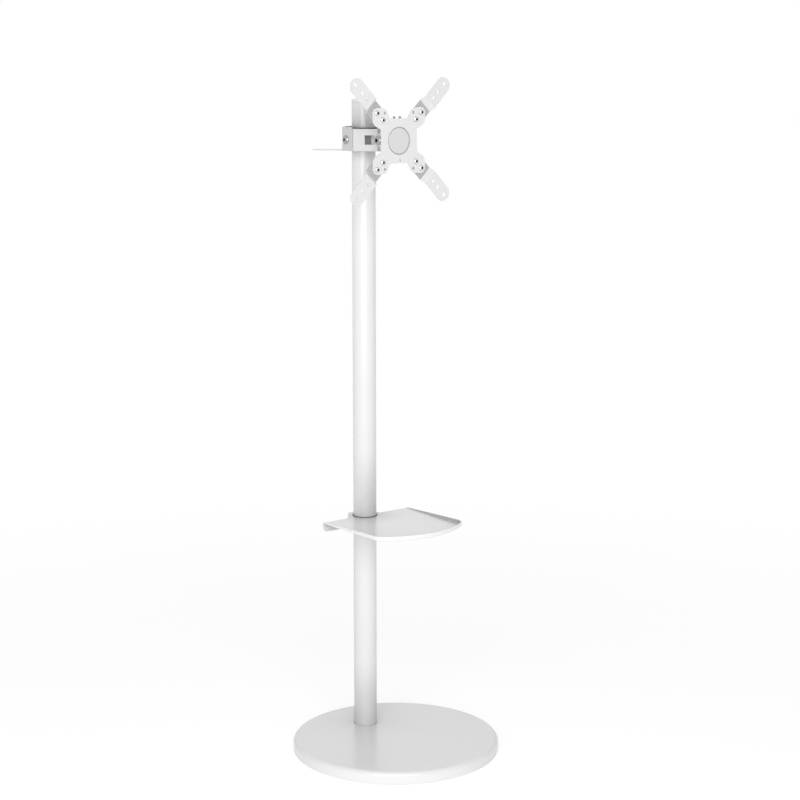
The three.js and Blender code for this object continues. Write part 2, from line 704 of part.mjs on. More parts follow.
// The tilting head: a bracket with two ears, its bolt, washers and nut, and the hub that the plate turns on.
function makeTiltHead() {
    const head = new THREE.Group();
    const inner = forkHalfWidth + forkSheet + seatGap;
    const outer = inner + headSheet;
    const front = -webReach;
    const shoulder = -tiltReach - headEarShoulder;
    const ear = new THREE.Shape();
    ear.moveTo(front, -headHalfHeight);
    ear.lineTo(shoulder, -headHalfHeight);
    ear.absarc(-tiltReach, 0, headEarRadius, -Math.PI / 2, Math.PI / 2);
    ear.lineTo(shoulder, headHalfHeight);
    ear.lineTo(front, headHalfHeight);
    ear.lineTo(front, -headHalfHeight);
    const blank = sideProfile(ear, -outer, outer);
    const inside = block(
        [-inner, front + headSheet, -headHalfHeight - overrun],
        [inner, 0, headHalfHeight + overrun],
    );
    const pivot = acrossBar(screwSizes.tilt.shank + seatGap, outer + overrun, -tiltReach);
    const hubHole = along(bar(screwSizes.hub.shank + seatGap, 0, webReach + overrun), 0, -1, 0);
    head.add(piece('tilt_head', cut(blank, [inside, pivot, hubHole]), powderWhite));

    const washer = ring(screwSizes.tilt.shank + seatGap, washerRadius, 0, washerThickness, holeSides);
    [-1, 1].forEach((side) => {
        const label = side < 0 ? 'left' : 'right';
        const mesh = piece(`tilt_washer_${label}`, along(washer, side, 0, 0), nickel);
        mesh.position.set(side * (outer + seatGap), -tiltReach, 0);
        head.add(mesh);
    });
    const seat = outer + seatGap + washerThickness + seatGap;
    const bolt = piece('tilt_bolt', along(buttonScrew(screwSizes.tilt), -1, 0, 0), nickel);
    bolt.position.set(-seat, -tiltReach, 0);
    const nut = piece('tilt_nut', along(hexNut(screwSizes.tilt), 1, 0, 0), nickel);
    nut.position.set(seat, -tiltReach, 0);
    head.add(bolt, nut);

    const hubBack = -webReach - seatGap;
    const neckLength = retainerLip + seatGap;
    const hubRim = neckLength + hubThickness;
    const hubFace = hubRim + seatGap + plateSheet - hubMiddleSink;
    const middleRadius = plateHoleRadius - hubMiddleGap;
    const hubProfile = [
        [0, 0],
        [hubNeckRadius, 0],
        [hubNeckRadius, neckLength],
        [hubRadius, neckLength],
        [hubRadius, hubRim],
        [plateHoleRadius, hubRim],
        [plateHoleRadius, hubRim - hubGrooveDepth],
        [middleRadius, hubRim - hubGrooveDepth],
        [middleRadius, hubFace],
        [0, hubFace],
    ];
    const threadDepth = screwSizes.hub.length - headSheet - seatGap;
    const thread = bar(screwSizes.hub.shank + seatGap, -overrun, threadDepth, holeSides);
    const hub = piece('turn_hub', along(turned(hubProfile, tubeSides).subtract(thread), 0, -1, 0), powderWhite);
    hub.position.set(0, hubBack, 0);
    const hubScrew = piece('turn_hub_screw', along(buttonScrew(screwSizes.hub), 0, 1, 0), nickel);
    hubScrew.position.set(0, front + headSheet + seatGap, 0);
    head.add(hub, hubScrew);
    return head;
}

// The outline of the screen plate: a square waist and four lobes that carry the arms.
function plateOutline() {
    const quarter = [
        [plateNotch, plateWaist],
        [lobeShoulderOffset, lobeShoulder],
        [lobeCrownOffset, lobeCrown],
    ];
    const crown = [];
    for (let i = 0; i <= 2 * domeSteps; i++) {
        const angle = Math.PI / 2 - (i / (2 * domeSteps)) * (Math.PI / 2);
        crown.push([outerHoleSpread + lobeRadius * Math.cos(angle), outerHoleSpread + lobeRadius * Math.sin(angle)]);
    }
    const back = quarter.map(([x, y]) => [y, x]).reverse();
    const lobe = [...quarter, ...crown, ...back];
    const points = [];
    [0, 1, 2, 3].forEach((turn) => {
        lobe.forEach(([x, y]) => {
            points.push(new THREE.Vector2(x, y).rotateAround(new THREE.Vector2(), (-turn * Math.PI) / 2));
        });
    });
    return new THREE.Shape(points);
}

// The screen plate with its retainer, drawn from the front: X right, Y up, Z towards the viewer.
function makePlate() {
    const plate = new THREE.Group();
    const screwHole = screwSizes.arm.shank + seatGap;
    const cutTop = overrun;
    const cutFoot = -plateSheet - overrun;
    const tools = [bar(plateHoleRadius, cutFoot, cutTop, tubeSides)];
    [-1, 1].forEach((across) => {
        [-1, 1].forEach((up) => {
            [innerHoleSpread, outerHoleSpread].forEach((spread) => {
                tools.push(bar(screwHole, cutFoot, cutTop, smallSides, across * spread, up * spread));
            });
            tools.push(bar(spareHoleRadius, cutFoot, cutTop, smallSides, across * spareHoleSpread, up * spareHoleRise));
        });
    });
    const lockRoom = screwSizes.lock.shank + seatGap;
    tools.push(bar(lockRoom, cutFoot, cutTop, smallSides, 0, -lockScrewDrop));
    plate.add(piece('screen_plate', cut(raised(plateOutline(), -plateSheet, 0), tools), powderWhite));

    const ringTop = -plateSheet - seatGap;
    const ringFoot = ringTop - retainerDepth + seatGap;
    const ringStep = ringFoot + retainerLip;
    const bore = hubNeckRadius + retainerBoreGap;
    const rimInner = hubRadius + seatGap;
    const retainer = turned(
        [
            [bore, ringFoot],
            [retainerRadius, ringFoot],
            [retainerRadius, ringTop],
            [rimInner, ringTop],
            [rimInner, ringStep],
            [bore, ringStep],
            [bore, ringFoot],
        ],
        tubeSides,
    );
    const lugs = [-1, 1].map((side) => {
        const middle = side * stopLugSpread;
        const low = [middle - stopLugWidth / 2, rimInner + seatGap, ringFoot];
        return block(low, [middle + stopLugWidth / 2, stopLugReach, ringStep]);
    });
    const lockHole = bar(lockRoom, ringFoot - overrun, ringTop + overrun, smallSides, 0, -lockScrewDrop);
    const retainerBody = lugs.reduce((body, lug) => body.add(lug), retainer).subtract(lockHole);
    plate.add(piece('hub_retainer', retainerBody, steel));

    const lock = piece('turn_lock_screw', buttonScrew(screwSizes.lock), nickel);
    lock.position.set(0, -lockScrewDrop, seatGap);
    plate.add(lock);
    return plate;
}

// One screen arm along X from the plate's centre, stepped towards the viewer, with its two screws.
function makeArm(label) {
    const arm = new THREE.Group();
    const diagonal = Math.SQRT2;
    const innerScrew = innerHoleSpread * diagonal;
    const outerScrew = outerHoleSpread * diagonal;
    const endCentre = armEndSpread * diagonal;
    const half = armWidth / 2;
    const low = -plateSheet - seatGap - armSheet;
    const high = low + armStep;
    const stepEnd = armStepStart + armStepRun;
    const start = innerScrew - half;
    const end = endCentre + half;
    const bevel = armSheet * Math.tan(Math.atan2(armStep, armStepRun) / 2);
    const profile = new THREE.Shape([
        new THREE.Vector2(start, low),
        new THREE.Vector2(armStepStart, low),
        new THREE.Vector2(stepEnd, high),
        new THREE.Vector2(end, high),
        new THREE.Vector2(end, high + armSheet),
        new THREE.Vector2(stepEnd - bevel, high + armSheet),
        new THREE.Vector2(armStepStart - bevel, low + armSheet),
        new THREE.Vector2(start, low + armSheet),
    ]);
    const strip = new THREE.ExtrudeGeometry(profile, { depth: armWidth, bevelEnabled: false });
    strip.rotateX(Math.PI / 2);
    strip.translate(0, half, 0);
    const outline = new THREE.Shape();
    outline.absarc(innerScrew, 0, half, Math.PI / 2, 1.5 * Math.PI);
    outline.absarc(endCentre, 0, half, -Math.PI / 2, Math.PI / 2);
    const cutTop = high + armSheet + overrun;
    const cutFoot = low - overrun;
    const screwHole = screwSizes.arm.shank + seatGap;
    const slot = new THREE.Shape();
    const slotMiddle = armEndHoleSpread * diagonal;
    slot.absarc(slotMiddle - armEndSlotTravel / 2, 0, armHoleRadius, Math.PI / 2, 1.5 * Math.PI);
    slot.absarc(slotMiddle + armEndSlotTravel / 2, 0, armHoleRadius, -Math.PI / 2, Math.PI / 2);
    const tools = [
        bar(screwHole, cutFoot, cutTop, smallSides, innerScrew),
        bar(screwHole, cutFoot, cutTop, smallSides, outerScrew),
        bar(armHoleRadius, cutFoot, cutTop, holeSides, armInnerHoleSpread * diagonal),
        bar(armHoleRadius, cutFoot, cutTop, holeSides, armMiddleHoleSpread * diagonal),
        raised(slot, cutFoot, cutTop, holeSides / 2),
    ];
    const body = solid(strip).intersect(raised(outline, cutFoot, cutTop, holeSides));
    arm.add(piece(`screen_arm_${label}`, cut(body, tools), powderWhite));

    [['inner', innerScrew], ['outer', outerScrew]].forEach(([place, reach]) => {
        const screw = piece(`arm_screw_${label}_${place}`, buttonScrew(screwSizes.arm), nickel);
        screw.position.set(reach, 0, seatGap);
        arm.add(screw);
    });
    return arm;
}

const part = new THREE.Group();
part.add(makeBase());

const column = new THREE.Group();
column.position.set(0, poleSetback, 0);
column.add(makePole());
part.add(column);

const shelf = makeShelf();
shelf.add(makeShelfBush());
shelf.position.set(0, 0, shelfHeight);
column.add(shelf);

const mount = new THREE.Group();
mount.position.set(0, 0, mountHeight);
mount.add(makeLiner(), makeClamp(), makeTiltFork(), makeTiltHead());
column.add(mount);

const screenPlate = makePlate();
screenPlate.rotation.set(Math.PI / 2, 0, 0);
screenPlate.position.set(0, -plateReach, 0);
mount.add(screenPlate);

const armPlaces = [
    ['upper_right', Math.PI / 4],
    ['upper_left', 0.75 * Math.PI],
    ['lower_left', 1.25 * Math.PI],
    ['lower_right', 1.75 * Math.PI],
];
for (const [label, turn] of armPlaces) {
    const arm = makeArm(label);
    arm.rotation.set(0, 0, turn);
    screenPlate.add(arm);
}

export default part;
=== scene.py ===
"""A floor stand for a flat screen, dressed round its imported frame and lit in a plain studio.

Lengths are in millimetres up to the functions that make a mesh, which turn them into metres.
"""

import json
import logging
from abc import ABC, abstractmethod
from collections.abc import Iterator, Sequence
from contextlib import contextmanager
from dataclasses import dataclass
from enum import Enum
from itertools import product
from math import acos, atan2, cos, hypot, pi, radians, sin, sqrt, tan, tau

import bpy
from mathutils import Matrix, Vector

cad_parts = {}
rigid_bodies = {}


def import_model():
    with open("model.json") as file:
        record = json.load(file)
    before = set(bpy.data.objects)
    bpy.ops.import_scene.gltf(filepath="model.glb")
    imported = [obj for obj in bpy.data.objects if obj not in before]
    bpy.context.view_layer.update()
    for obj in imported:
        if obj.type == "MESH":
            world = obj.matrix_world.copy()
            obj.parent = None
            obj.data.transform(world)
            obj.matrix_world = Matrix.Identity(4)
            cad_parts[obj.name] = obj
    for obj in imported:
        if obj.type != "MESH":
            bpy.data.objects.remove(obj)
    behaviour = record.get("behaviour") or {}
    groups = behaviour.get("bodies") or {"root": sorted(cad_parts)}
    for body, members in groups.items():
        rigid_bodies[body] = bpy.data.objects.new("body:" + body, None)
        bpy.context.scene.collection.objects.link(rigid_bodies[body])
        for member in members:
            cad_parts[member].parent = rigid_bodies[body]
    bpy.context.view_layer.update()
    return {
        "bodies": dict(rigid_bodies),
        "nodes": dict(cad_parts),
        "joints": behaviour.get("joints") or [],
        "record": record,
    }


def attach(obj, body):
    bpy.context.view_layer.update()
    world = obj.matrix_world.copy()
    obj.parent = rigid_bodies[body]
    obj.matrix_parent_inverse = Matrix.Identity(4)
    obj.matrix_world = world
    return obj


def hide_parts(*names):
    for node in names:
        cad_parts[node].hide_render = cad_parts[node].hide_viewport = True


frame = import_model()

LOG = logging.getLogger("screen_stand")
MM = 0.001
MERGE_DISTANCE = 2e-6
SMOOTH_ANGLE = radians(32)
FLUSH_ANGLE = radians(0.3)
TOLERANCE = 0.01
GAP = 0.3
OVERRUN = 2.0
MARGIN = 1.0
ROUND = 96
HOLE_SIDES = 32

Point2 = tuple[float, float]
Point3 = tuple[float, float, float]
Colour = tuple[float, float, float, float]
Piece = bpy.types.Object
Tree = bpy.types.NodeTree
Socket = bpy.types.NodeSocket


def grey(level: float) -> Colour:
    """A neutral colour of the given linear level."""
    return (level, level, level, 1.0)


def mm(x: float, y: float, z: float) -> Vector:
    """A point given in millimetres, in metres."""
    return Vector((x, y, z)) * MM


class Plane(Enum):
    """The plane that an outline is drawn in; it is raised along the third direction."""

    XY = "floor plan"
    YZ = "seen from the side"

    def place(self, u: float, v: float, w: float) -> Point3:
        """The point at (u, v) on the outline and w along the raised direction."""
        return (u, v, w) if self is Plane.XY else (w, u, v)


class Joining(Enum):
    """How a second solid changes the first."""

    CUT = "DIFFERENCE"
    ADD = "UNION"
    KEEP = "INTERSECT"


CUT, ADD, KEEP = Joining


# ---- Tools of the workbench ----


def deselect() -> None:
    """Leaves edit mode and deselects every object."""
    if bpy.context.mode != "OBJECT":
        bpy.ops.object.mode_set(mode="OBJECT")
    bpy.ops.object.select_all(action="DESELECT")


def activate(piece: Piece) -> None:
    """Selects one piece alone and makes it the active one.

    Args:
        piece: The piece.
    """
    deselect()
    piece.select_set(True)
    bpy.context.view_layer.objects.active = piece


@contextmanager
def editing(piece: Piece) -> Iterator[None]:
    """Edits a piece with all of its mesh selected, and leaves edit mode at the end.

    Args:
        piece: The piece.
    """
    activate(piece)
    bpy.ops.object.mode_set(mode="EDIT")
    bpy.ops.mesh.select_mode(type="VERT")
    bpy.ops.mesh.select_all(action="SELECT")
    yield
    bpy.ops.object.mode_set(mode="OBJECT")


def settle(piece: Piece, matrix: Matrix | None = None) -> Piece:
    """Moves a piece by a matrix, if one is given, and puts its place into its mesh.

    Args:
        piece: The piece.
        matrix: The move, in metres.

    Returns:
        The same piece, with its object at the origin.
    """
    if matrix is not None:
        piece.matrix_world = matrix @ piece.matrix_world
    activate(piece)
    bpy.ops.object.transform_apply(location=True, rotation=True, scale=True)
    return piece


def trace(points: Sequence[Point3]) -> Piece:
    """Draws a run of edges by extruding one vertex from point to point.

    Args:
        points: The points.

    Returns:
        The wire, with all of it in one mesh.
    """
    deselect()
    bpy.ops.mesh.primitive_plane_add(size=MM)
    piece = bpy.context.object
    with editing(piece):
        bpy.ops.mesh.merge(type="CENTER")
        bpy.ops.transform.translate(value=mm(*points[0]))
        for before, after in zip(points, points[1:]):
            step = mm(*after) - mm(*before)
            bpy.ops.mesh.extrude_region_move(TRANSFORM_OT_translate={"value": step})
    return piece


def tidy_mesh() -> None:
    """Merges doubled vertices and turns all faces outwards, in edit mode."""
    bpy.ops.mesh.select_all(action="SELECT")
    bpy.ops.mesh.remove_doubles(threshold=MERGE_DISTANCE)
    bpy.ops.mesh.normals_make_consistent(inside=False)


def turned(profile: Sequence[Point2], steps: int = ROUND) -> Piece:
    """Spins a profile of (radius, height) points about the Z axis.

    Args:
        profile: A closed profile, or an open one from axis to axis.
        steps: Faces round the axis.

    Returns:
        The turned piece.
    """
    piece = trace([(radius, 0.0, height) for radius, height in profile])
    with editing(piece):
        bpy.ops.mesh.spin(steps=steps, angle=tau, center=(0, 0, 0), axis=(0, 0, 1))
        tidy_mesh()
    return piece


def ring(
    inner: float, outer: float, low: float, high: float, steps: int = ROUND, edge: float = 0.3
) -> Piece:
    """Turns a plain ring with chamfered edges.

    Args:
        inner: Inner radius.
        outer: Outer radius.
        low: Lower end.
        high: Upper end.
        steps: Faces round it.
        edge: Width of the chamfers.

    Returns:
        The ring, shaded smooth.
    """
    corners = [(inner, low), (outer, low), (outer, high), (inner, high)]
    profile = rounded_loop(corners, edge, 1)
    return soften(turned([*profile, profile[0]], steps), 0)


def slab(outline: Sequence[Point2], low: float, high: float, plane: Plane = Plane.XY) -> Piece:
    """Fills a closed outline and raises it.

    Args:
        outline: The outline's corners, of which the last isn't the first again.
        low: Where the slab starts along the raised direction.
        high: Where it ends.
        plane: The plane of the outline.

    Returns:
        The slab.
    """
    piece = trace([plane.place(u, v, low) for u, v in (*outline, outline[0])])
    with editing(piece):
        bpy.ops.mesh.remove_doubles(threshold=MERGE_DISTANCE)
        bpy.ops.mesh.edge_face_add()
        rise = mm(*plane.place(0, 0, high - low))
        bpy.ops.mesh.extrude_region_move(TRANSFORM_OT_translate={"value": rise})
        tidy_mesh()
    return piece


def rod(radius: float, start: Point3, end: Point3, sides: int = 48) -> Piece:
    """A round bar between two points, used to drill or to add a boss.

    Args:
        radius: The bar's radius.
        start: Centre of one end.
        end: Centre of the other end.
        sides: Faces round the bar.

    Returns:
        The bar.
    """
    foot, tip = mm(*start), mm(*end)
    deselect()
    bpy.ops.mesh.primitive_cylinder_add(
        vertices=sides,
        radius=radius * MM,
        depth=(tip - foot).length,
        location=(foot + tip) / 2,
        rotation=(tip - foot).to_track_quat("Z", "Y").to_euler(),
    )
    return settle(bpy.context.object)


def brick(low: Point3, high: Point3, turn: float = 0.0) -> Piece:
    """A block between two corners, turned about its own upright axis.

    Args:
        low: Lowest corner.
        high: Highest corner.
        turn: The turn in radians.

    Returns:
        The block.
    """
    foot, tip = mm(*low), mm(*high)
    deselect()
    bpy.ops.mesh.primitive_cube_add(
        size=1, location=(foot + tip) / 2, rotation=(0, 0, turn), scale=tip - foot
    )
    return settle(bpy.context.object)


def combine(piece: Piece, how: Joining, *tools: Piece) -> Piece:
    """Cuts, joins or intersects a piece with other solids, which are used up.

    Args:
        piece: The piece that stays.
        how: What the other solids do to it.
        tools: The other solids.

    Returns:
        The same piece.
    """
    for tool in tools:
        modifier = piece.modifiers.new(how.name, "BOOLEAN")
        modifier.operation = how.value
        modifier.solver = "EXACT"
        modifier.object = tool
        activate(piece)
        bpy.ops.object.modifier_apply(modifier=modifier.name)
        bpy.data.objects.remove(tool)
    return piece


def even_out(piece: Piece) -> Piece:
    """Closes the hairline steps between flush faces and makes one face of them.

    Args:
        piece: A piece that was joined from others.

    Returns:
        The same piece.
    """
    with editing(piece):
        bpy.ops.mesh.remove_doubles(threshold=MERGE_DISTANCE)
        bpy.ops.mesh.dissolve_limited(angle_limit=FLUSH_ANGLE)
    return piece


def soften(piece: Piece, width: float, segments: int = 2) -> Piece:
    """Rounds a piece's sharp edges and shades the rest smooth.

    Args:
        piece: The piece.
        width: Width of the rounding; nought leaves the edges as they are.
        segments: Steps across it.

    Returns:
        The same piece.
    """
    activate(piece)
    if width > 0:
        modifier = piece.modifiers.new("rounded edges", "BEVEL")
        modifier.width = width * MM
        modifier.segments = segments
        modifier.limit_method = "ANGLE"
        modifier.angle_limit = SMOOTH_ANGLE
        modifier.use_clamp_overlap = False
        bpy.ops.object.modifier_apply(modifier=modifier.name)
    bpy.ops.object.shade_smooth_by_angle(angle=SMOOTH_ANGLE)
    flatten = piece.modifiers.new("flat faces stay flat", "WEIGHTED_NORMAL")
    flatten.keep_sharp = True
    bpy.ops.object.modifier_apply(modifier=flatten.name)
    return piece


def twin(piece: Piece) -> Piece:
    """Copies a piece with a mesh of its own.

    Args:
        piece: The piece to copy.

    Returns:
        The copy, at the same place.
    """
    copy = piece.copy()
    copy.data = piece.data.copy()
    bpy.context.scene.collection.objects.link(copy)
    return copy


# ---- Outlines ----


def arc(centre: Point2, radius: float, start: float, end: float, steps: int) -> list[Point2]:
    """Points of an arc between two angles in radians, both ends included."""
    angles = [start + (end - start) * i / steps for i in range(steps + 1)]
    return [(centre[0] + radius * cos(a), centre[1] + radius * sin(a)) for a in angles]


def rounded_edge(radius: float, top: float, edge: float, steps: int) -> list[Point2]:
    """The rounded upper edge of a turned profile, from its side to its top."""
    return arc((radius - edge, top - edge), edge, 0, pi / 2, steps)


def rounded_bar(start: float, end: float, radius: float, steps: int) -> list[Point2]:
    """The outline of a bar along X with round ends, whose centres lie at start and end."""
    back = arc((start, 0), radius, pi / 2, 1.5 * pi, steps)
    return back + arc((end, 0), radius, -pi / 2, pi / 2, steps)


def rounded_corner(
    before: Point2, corner: Point2, after: Point2, radius: float, steps: int
) -> list[Point2]:
    """The arc that rounds one corner of a path.

    Args:
        before: The point before the corner.
        corner: The corner.
        after: The point after it.
        radius: Radius of the arc.
        steps: Edges along it.

    Returns:
        The arc's points.
    """
    here = Vector(corner)
    back = (Vector(before) - here).normalized()
    ahead = (Vector(after) - here).normalized()
    half = acos(max(-1.0, min(1.0, back.dot(ahead)))) / 2
    centre = here + (back + ahead).normalized() * (radius / sin(half))
    first = here + back * (radius / tan(half)) - centre
    last = here + ahead * (radius / tan(half)) - centre
    start = atan2(first.y, first.x)
    sweep = (atan2(last.y, last.x) - start + pi) % tau - pi
    return arc((centre.x, centre.y), radius, start, start + sweep, steps)


def rounded_loop(corners: Sequence[Point2], radius: float, steps: int) -> list[Point2]:
    """Rounds all corners of a closed outline.

    Args:
        corners: The outline.
        radius: Radius of the arcs.
        steps: Edges along each.

    Returns:
        The rounded outline.
    """
    points: list[Point2] = []
    for before, corner, after in zip((corners[-1], *corners), corners, (*corners[1:], corners[0])):
        points += rounded_corner(before, corner, after, radius, steps)
    return points


def bent_strip(
    corners: Sequence[Point2], radius: float, thickness: float, steps: int = 8
) -> list[Point2]:
    """The outline of a strip of sheet bent at its corners, seen on its edge.

    Args:
        corners: The path of its outer face; the thickness lies to the left of it.
        radius: Outer radius of the bends.
        thickness: The sheet's thickness.
        steps: Edges along each bend.

    Returns:
        The outline.
    """
    outer: list[Point2] = [corners[0]]
    for before, corner, after in zip(corners, corners[1:], corners[2:]):
        outer += rounded_corner(before, corner, after, radius, steps)
    outer.append(corners[-1])
    inner: list[Point2] = []
    for i, (x, y) in enumerate(outer):
        ahead = Vector(outer[min(i + 1, len(outer) - 1)]) - Vector((x, y))
        behind = Vector((x, y)) - Vector(outer[max(i - 1, 0)])
        run = ahead if behind.length == 0 else behind
        onward = behind if ahead.length == 0 else ahead
        left = Vector((-run.y, run.x)).normalized()
        mitre = (left + Vector((-onward.y, onward.x)).normalized()).normalized()
        shift = mitre * (thickness / mitre.dot(left))
        inner.append((x + shift.x, y + shift.y))
    return outer + inner[::-1]


def mirrored(path: Sequence[Point2]) -> list[Point2]:
    """A path that ends near the middle, followed by its mirror image on the other side."""
    return [*path, *[(-x, y) for x, y in reversed(path)]]


# ---- Finishes ----


class Graph:
    """A shader tree, written node by node."""

    def __init__(self, tree: Tree) -> None:
        """Takes over a tree and empties it."""
        self.tree = tree
        tree.nodes.clear()

    def feed(self, socket: Socket, value: object) -> None:
        """Links an input to an output, or sets it.

        Args:
            socket: The input.
            value: The output or the value.
        """
        if isinstance(value, Socket):
            self.tree.links.new(value, socket)
        else:
            socket.default_value = value

    def add(self, kind: str, *first: object, **values: object) -> bpy.types.Node:
        """Adds a shader node and sets its properties and inputs.

        Args:
            kind: The node's type, without the words that every type starts with.
            first: Its inputs from the first on; None leaves one as it is.
            values: Properties by name, and inputs by name with spaces as underscores.

        Returns:
            The node.
        """
        node = self.tree.nodes.new(f"ShaderNode{kind}")
        for name, value in values.items():
            socket = node.inputs.get(name.replace("_", " "))
            if socket is None:
                setattr(node, name, value)
            else:
                self.feed(socket, value)
        for socket, value in zip(node.inputs, first):
            if value is not None:
                self.feed(socket, value)
        return node

    def place(self) -> Socket:
        """The place on the object."""
        return self.add("TexCoord").outputs["Object"]

    def noise(self, place: Socket, scale: object, detail: float, **values: float) -> Socket:
        """Noise over a place, of a scale and with a number of finer layers."""
        node = self.add("TexNoise", Vector=place, Scale=scale, Detail=detail, **values)
        return node.outputs["Fac"]

    def spread(self, value: Socket, **limits: object) -> Socket:
        """A value carried over from one range to another."""
        return self.add("MapRange", value, **limits).outputs["Result"]

    def math(self, operation: str, *inputs: object, clamp: bool = False) -> Socket:
        """The result of an operation on outputs or numbers."""
        return self.add("Math", *inputs, operation=operation, use_clamp=clamp).outputs[0]

    def vector(self, operation: str, *inputs: object, **values: object) -> bpy.types.Node:
        """An operation on vectors."""
        return self.add("VectorMath", *inputs, operation=operation, **values)

    def mix(self, factor: Socket, low: object, high: object) -> Socket:
        """The number between two others that a factor picks."""
        return self.add("Mix", factor, None, low, high, data_type="FLOAT").outputs[0]

    def mix_colour(self, factor: Socket, *colours: object) -> Socket:
        """The colour between two others that a factor picks."""
        node = self.add("Mix", factor, *[None] * 5, *colours, data_type="RGBA", clamp_factor=True)
        return node.outputs[2]

    def blend(self, factor: Socket, *shaders: Socket) -> Socket:
        """The shader between two others that a factor picks."""
        return self.add("MixShader", factor, *shaders).outputs[0]

    def glow(self, strength: object) -> Socket:
        """A white light that the surface gives off."""
        return self.add("Emission", grey(1.0), strength).outputs[0]


def new_group(name: str, inputs: dict[str, float], *outputs: str) -> tuple:
    """A shader node group with float sockets.

    Args:
        name: The group's name.
        inputs: The default value of each input.
        outputs: The names of the outputs.

    Returns:
        The group's graph, the sockets that give its inputs and those that take its outputs.
    """
    tree = bpy.data.node_groups.new(name, "ShaderNodeTree")
    for label, value in inputs.items():
        socket = tree.interface.new_socket(label, in_out="INPUT", socket_type="NodeSocketFloat")
        socket.default_value = value
    for label in outputs:
        tree.interface.new_socket(label, in_out="OUTPUT", socket_type="NodeSocketFloat")
    graph = Graph(tree)
    entry, leave = tree.nodes.new("NodeGroupInput"), tree.nodes.new("NodeGroupOutput")
    return graph, entry.outputs, leave.inputs


def make_grain_group() -> Tree:
    """The skin of a coat or a moulding: soft swells with a finer grain on them.

    Returns:
        The group, with the inputs Swell, Grain and Mix and the outputs Height and Tone.
    """
    inputs = {"Swell": 300.0, "Grain": 1500.0, "Mix": 0.3}
    graph, entry, leave = new_group("surface grain", inputs, "Height", "Tone")
    place = graph.place()
    swell = graph.noise(place, entry["Swell"], 2.0)
    grain = graph.noise(place, entry["Grain"], 3.0)
    graph.feed(leave["Height"], graph.mix(entry["Mix"], swell, grain))
    graph.feed(leave["Tone"], grain)
    return graph.tree


def make_handling_group() -> Tree:
    """Where hands and cloths have touched a surface: soft smudges and a few fine streaks.

    Returns:
        The group, with the inputs Size and Streaks and the output Mask.
    """
    graph, entry, leave = new_group("handling", {"Size": 12.0, "Streaks": 0.3}, "Mask")
    place = graph.place()
    smudge = graph.noise(place, entry["Size"], 5.0, Distortion=0.6)
    soft = graph.spread(smudge, From_Min=0.35, From_Max=0.7)
    along = graph.add("Mapping", place, Scale=(90.0, 90.0, 6.0), Rotation=(0.3, 0.2, 0.0))
    streak = graph.noise(along.outputs[0], 4.0, 6.0)
    thin = graph.spread(streak, From_Min=0.58, From_Max=0.72)
    graph.feed(leave["Mask"], graph.mix(entry["Streaks"], soft, thin))
    return graph.tree


def make_shelter_group() -> Tree:
    """Painted shade: places that nearby surfaces would shade, found by ambient occlusion, to be
    painted a little darker.

    Returns:
        The group, with the inputs Reach, Down, Open and Upward and the output Mask. Down tilts
        the look round towards what lies below, Open is the share of it that the surface leaves
        open, and Upward keeps to faces that look up.
    """
    inputs = {"Reach": 0.06, "Down": 0.0, "Open": 1.0, "Upward": 0.0}
    graph, entry, leave = new_group("shelter", inputs, "Mask")
    normal = graph.add("NewGeometry").outputs["Normal"]
    drop = graph.vector("SCALE", (0.0, 0.0, -1.0), Scale=entry["Down"]).outputs[0]
    tilted = graph.vector("ADD", normal, drop).outputs[0]
    look = graph.vector("NORMALIZE", tilted).outputs[0]
    # Ambient occlusion finds where shade would fall, and the mask paints that shade into the
    # colour.
    around = graph.add("AmbientOcclusion", samples=12, Distance=entry["Reach"], Normal=look)
    covered = graph.spread(around.outputs["AO"], From_Max=entry["Open"], To_Min=1.0, To_Max=0.0)
    up = graph.add("SeparateXYZ", normal).outputs["Z"]
    share = graph.mix(entry["Upward"], 1.0, graph.math("MAXIMUM", up, 0.0))
    graph.feed(leave["Mask"], graph.math("MULTIPLY", covered, share))
    return graph.tree


@dataclass(frozen=True)
class EffectGroups:
    """The node groups that the finishes share."""

    grain: Tree
    handling: Tree
    shelter: Tree


@dataclass(frozen=True)
class PaintedShade:
    """Painted shade: how a finish is painted darker where other surfaces would shade it."""

    depth: float
    reach: float
    down: float = 0.0
    upward: float = 0.0
    # The colour that the painted shade turns towards.
    level: float = 0.02

    @property
    def open(self) -> float:
        """Share of the tilted look round that an even surface leaves open."""
        return (1 + cos(atan2(self.down, 1))) / 2

    def shade(self, graph: Graph, group: Tree, colour: Socket) -> Socket:
        """Paints shade into a colour where nearby surfaces would shade it.

        Args:
            graph: The material's nodes.
            group: The painted shade group.
            colour: The colour in the open.

        Returns:
            The colour to show.
        """
        settings = (self.reach, self.down, self.open, self.upward)
        sheltered = graph.add("Group", *settings, node_tree=group, label="sheltered")
        amount = graph.math("MULTIPLY", sheltered.outputs["Mask"], self.depth, clamp=True)
        return graph.mix_colour(amount, colour, grey(self.level))


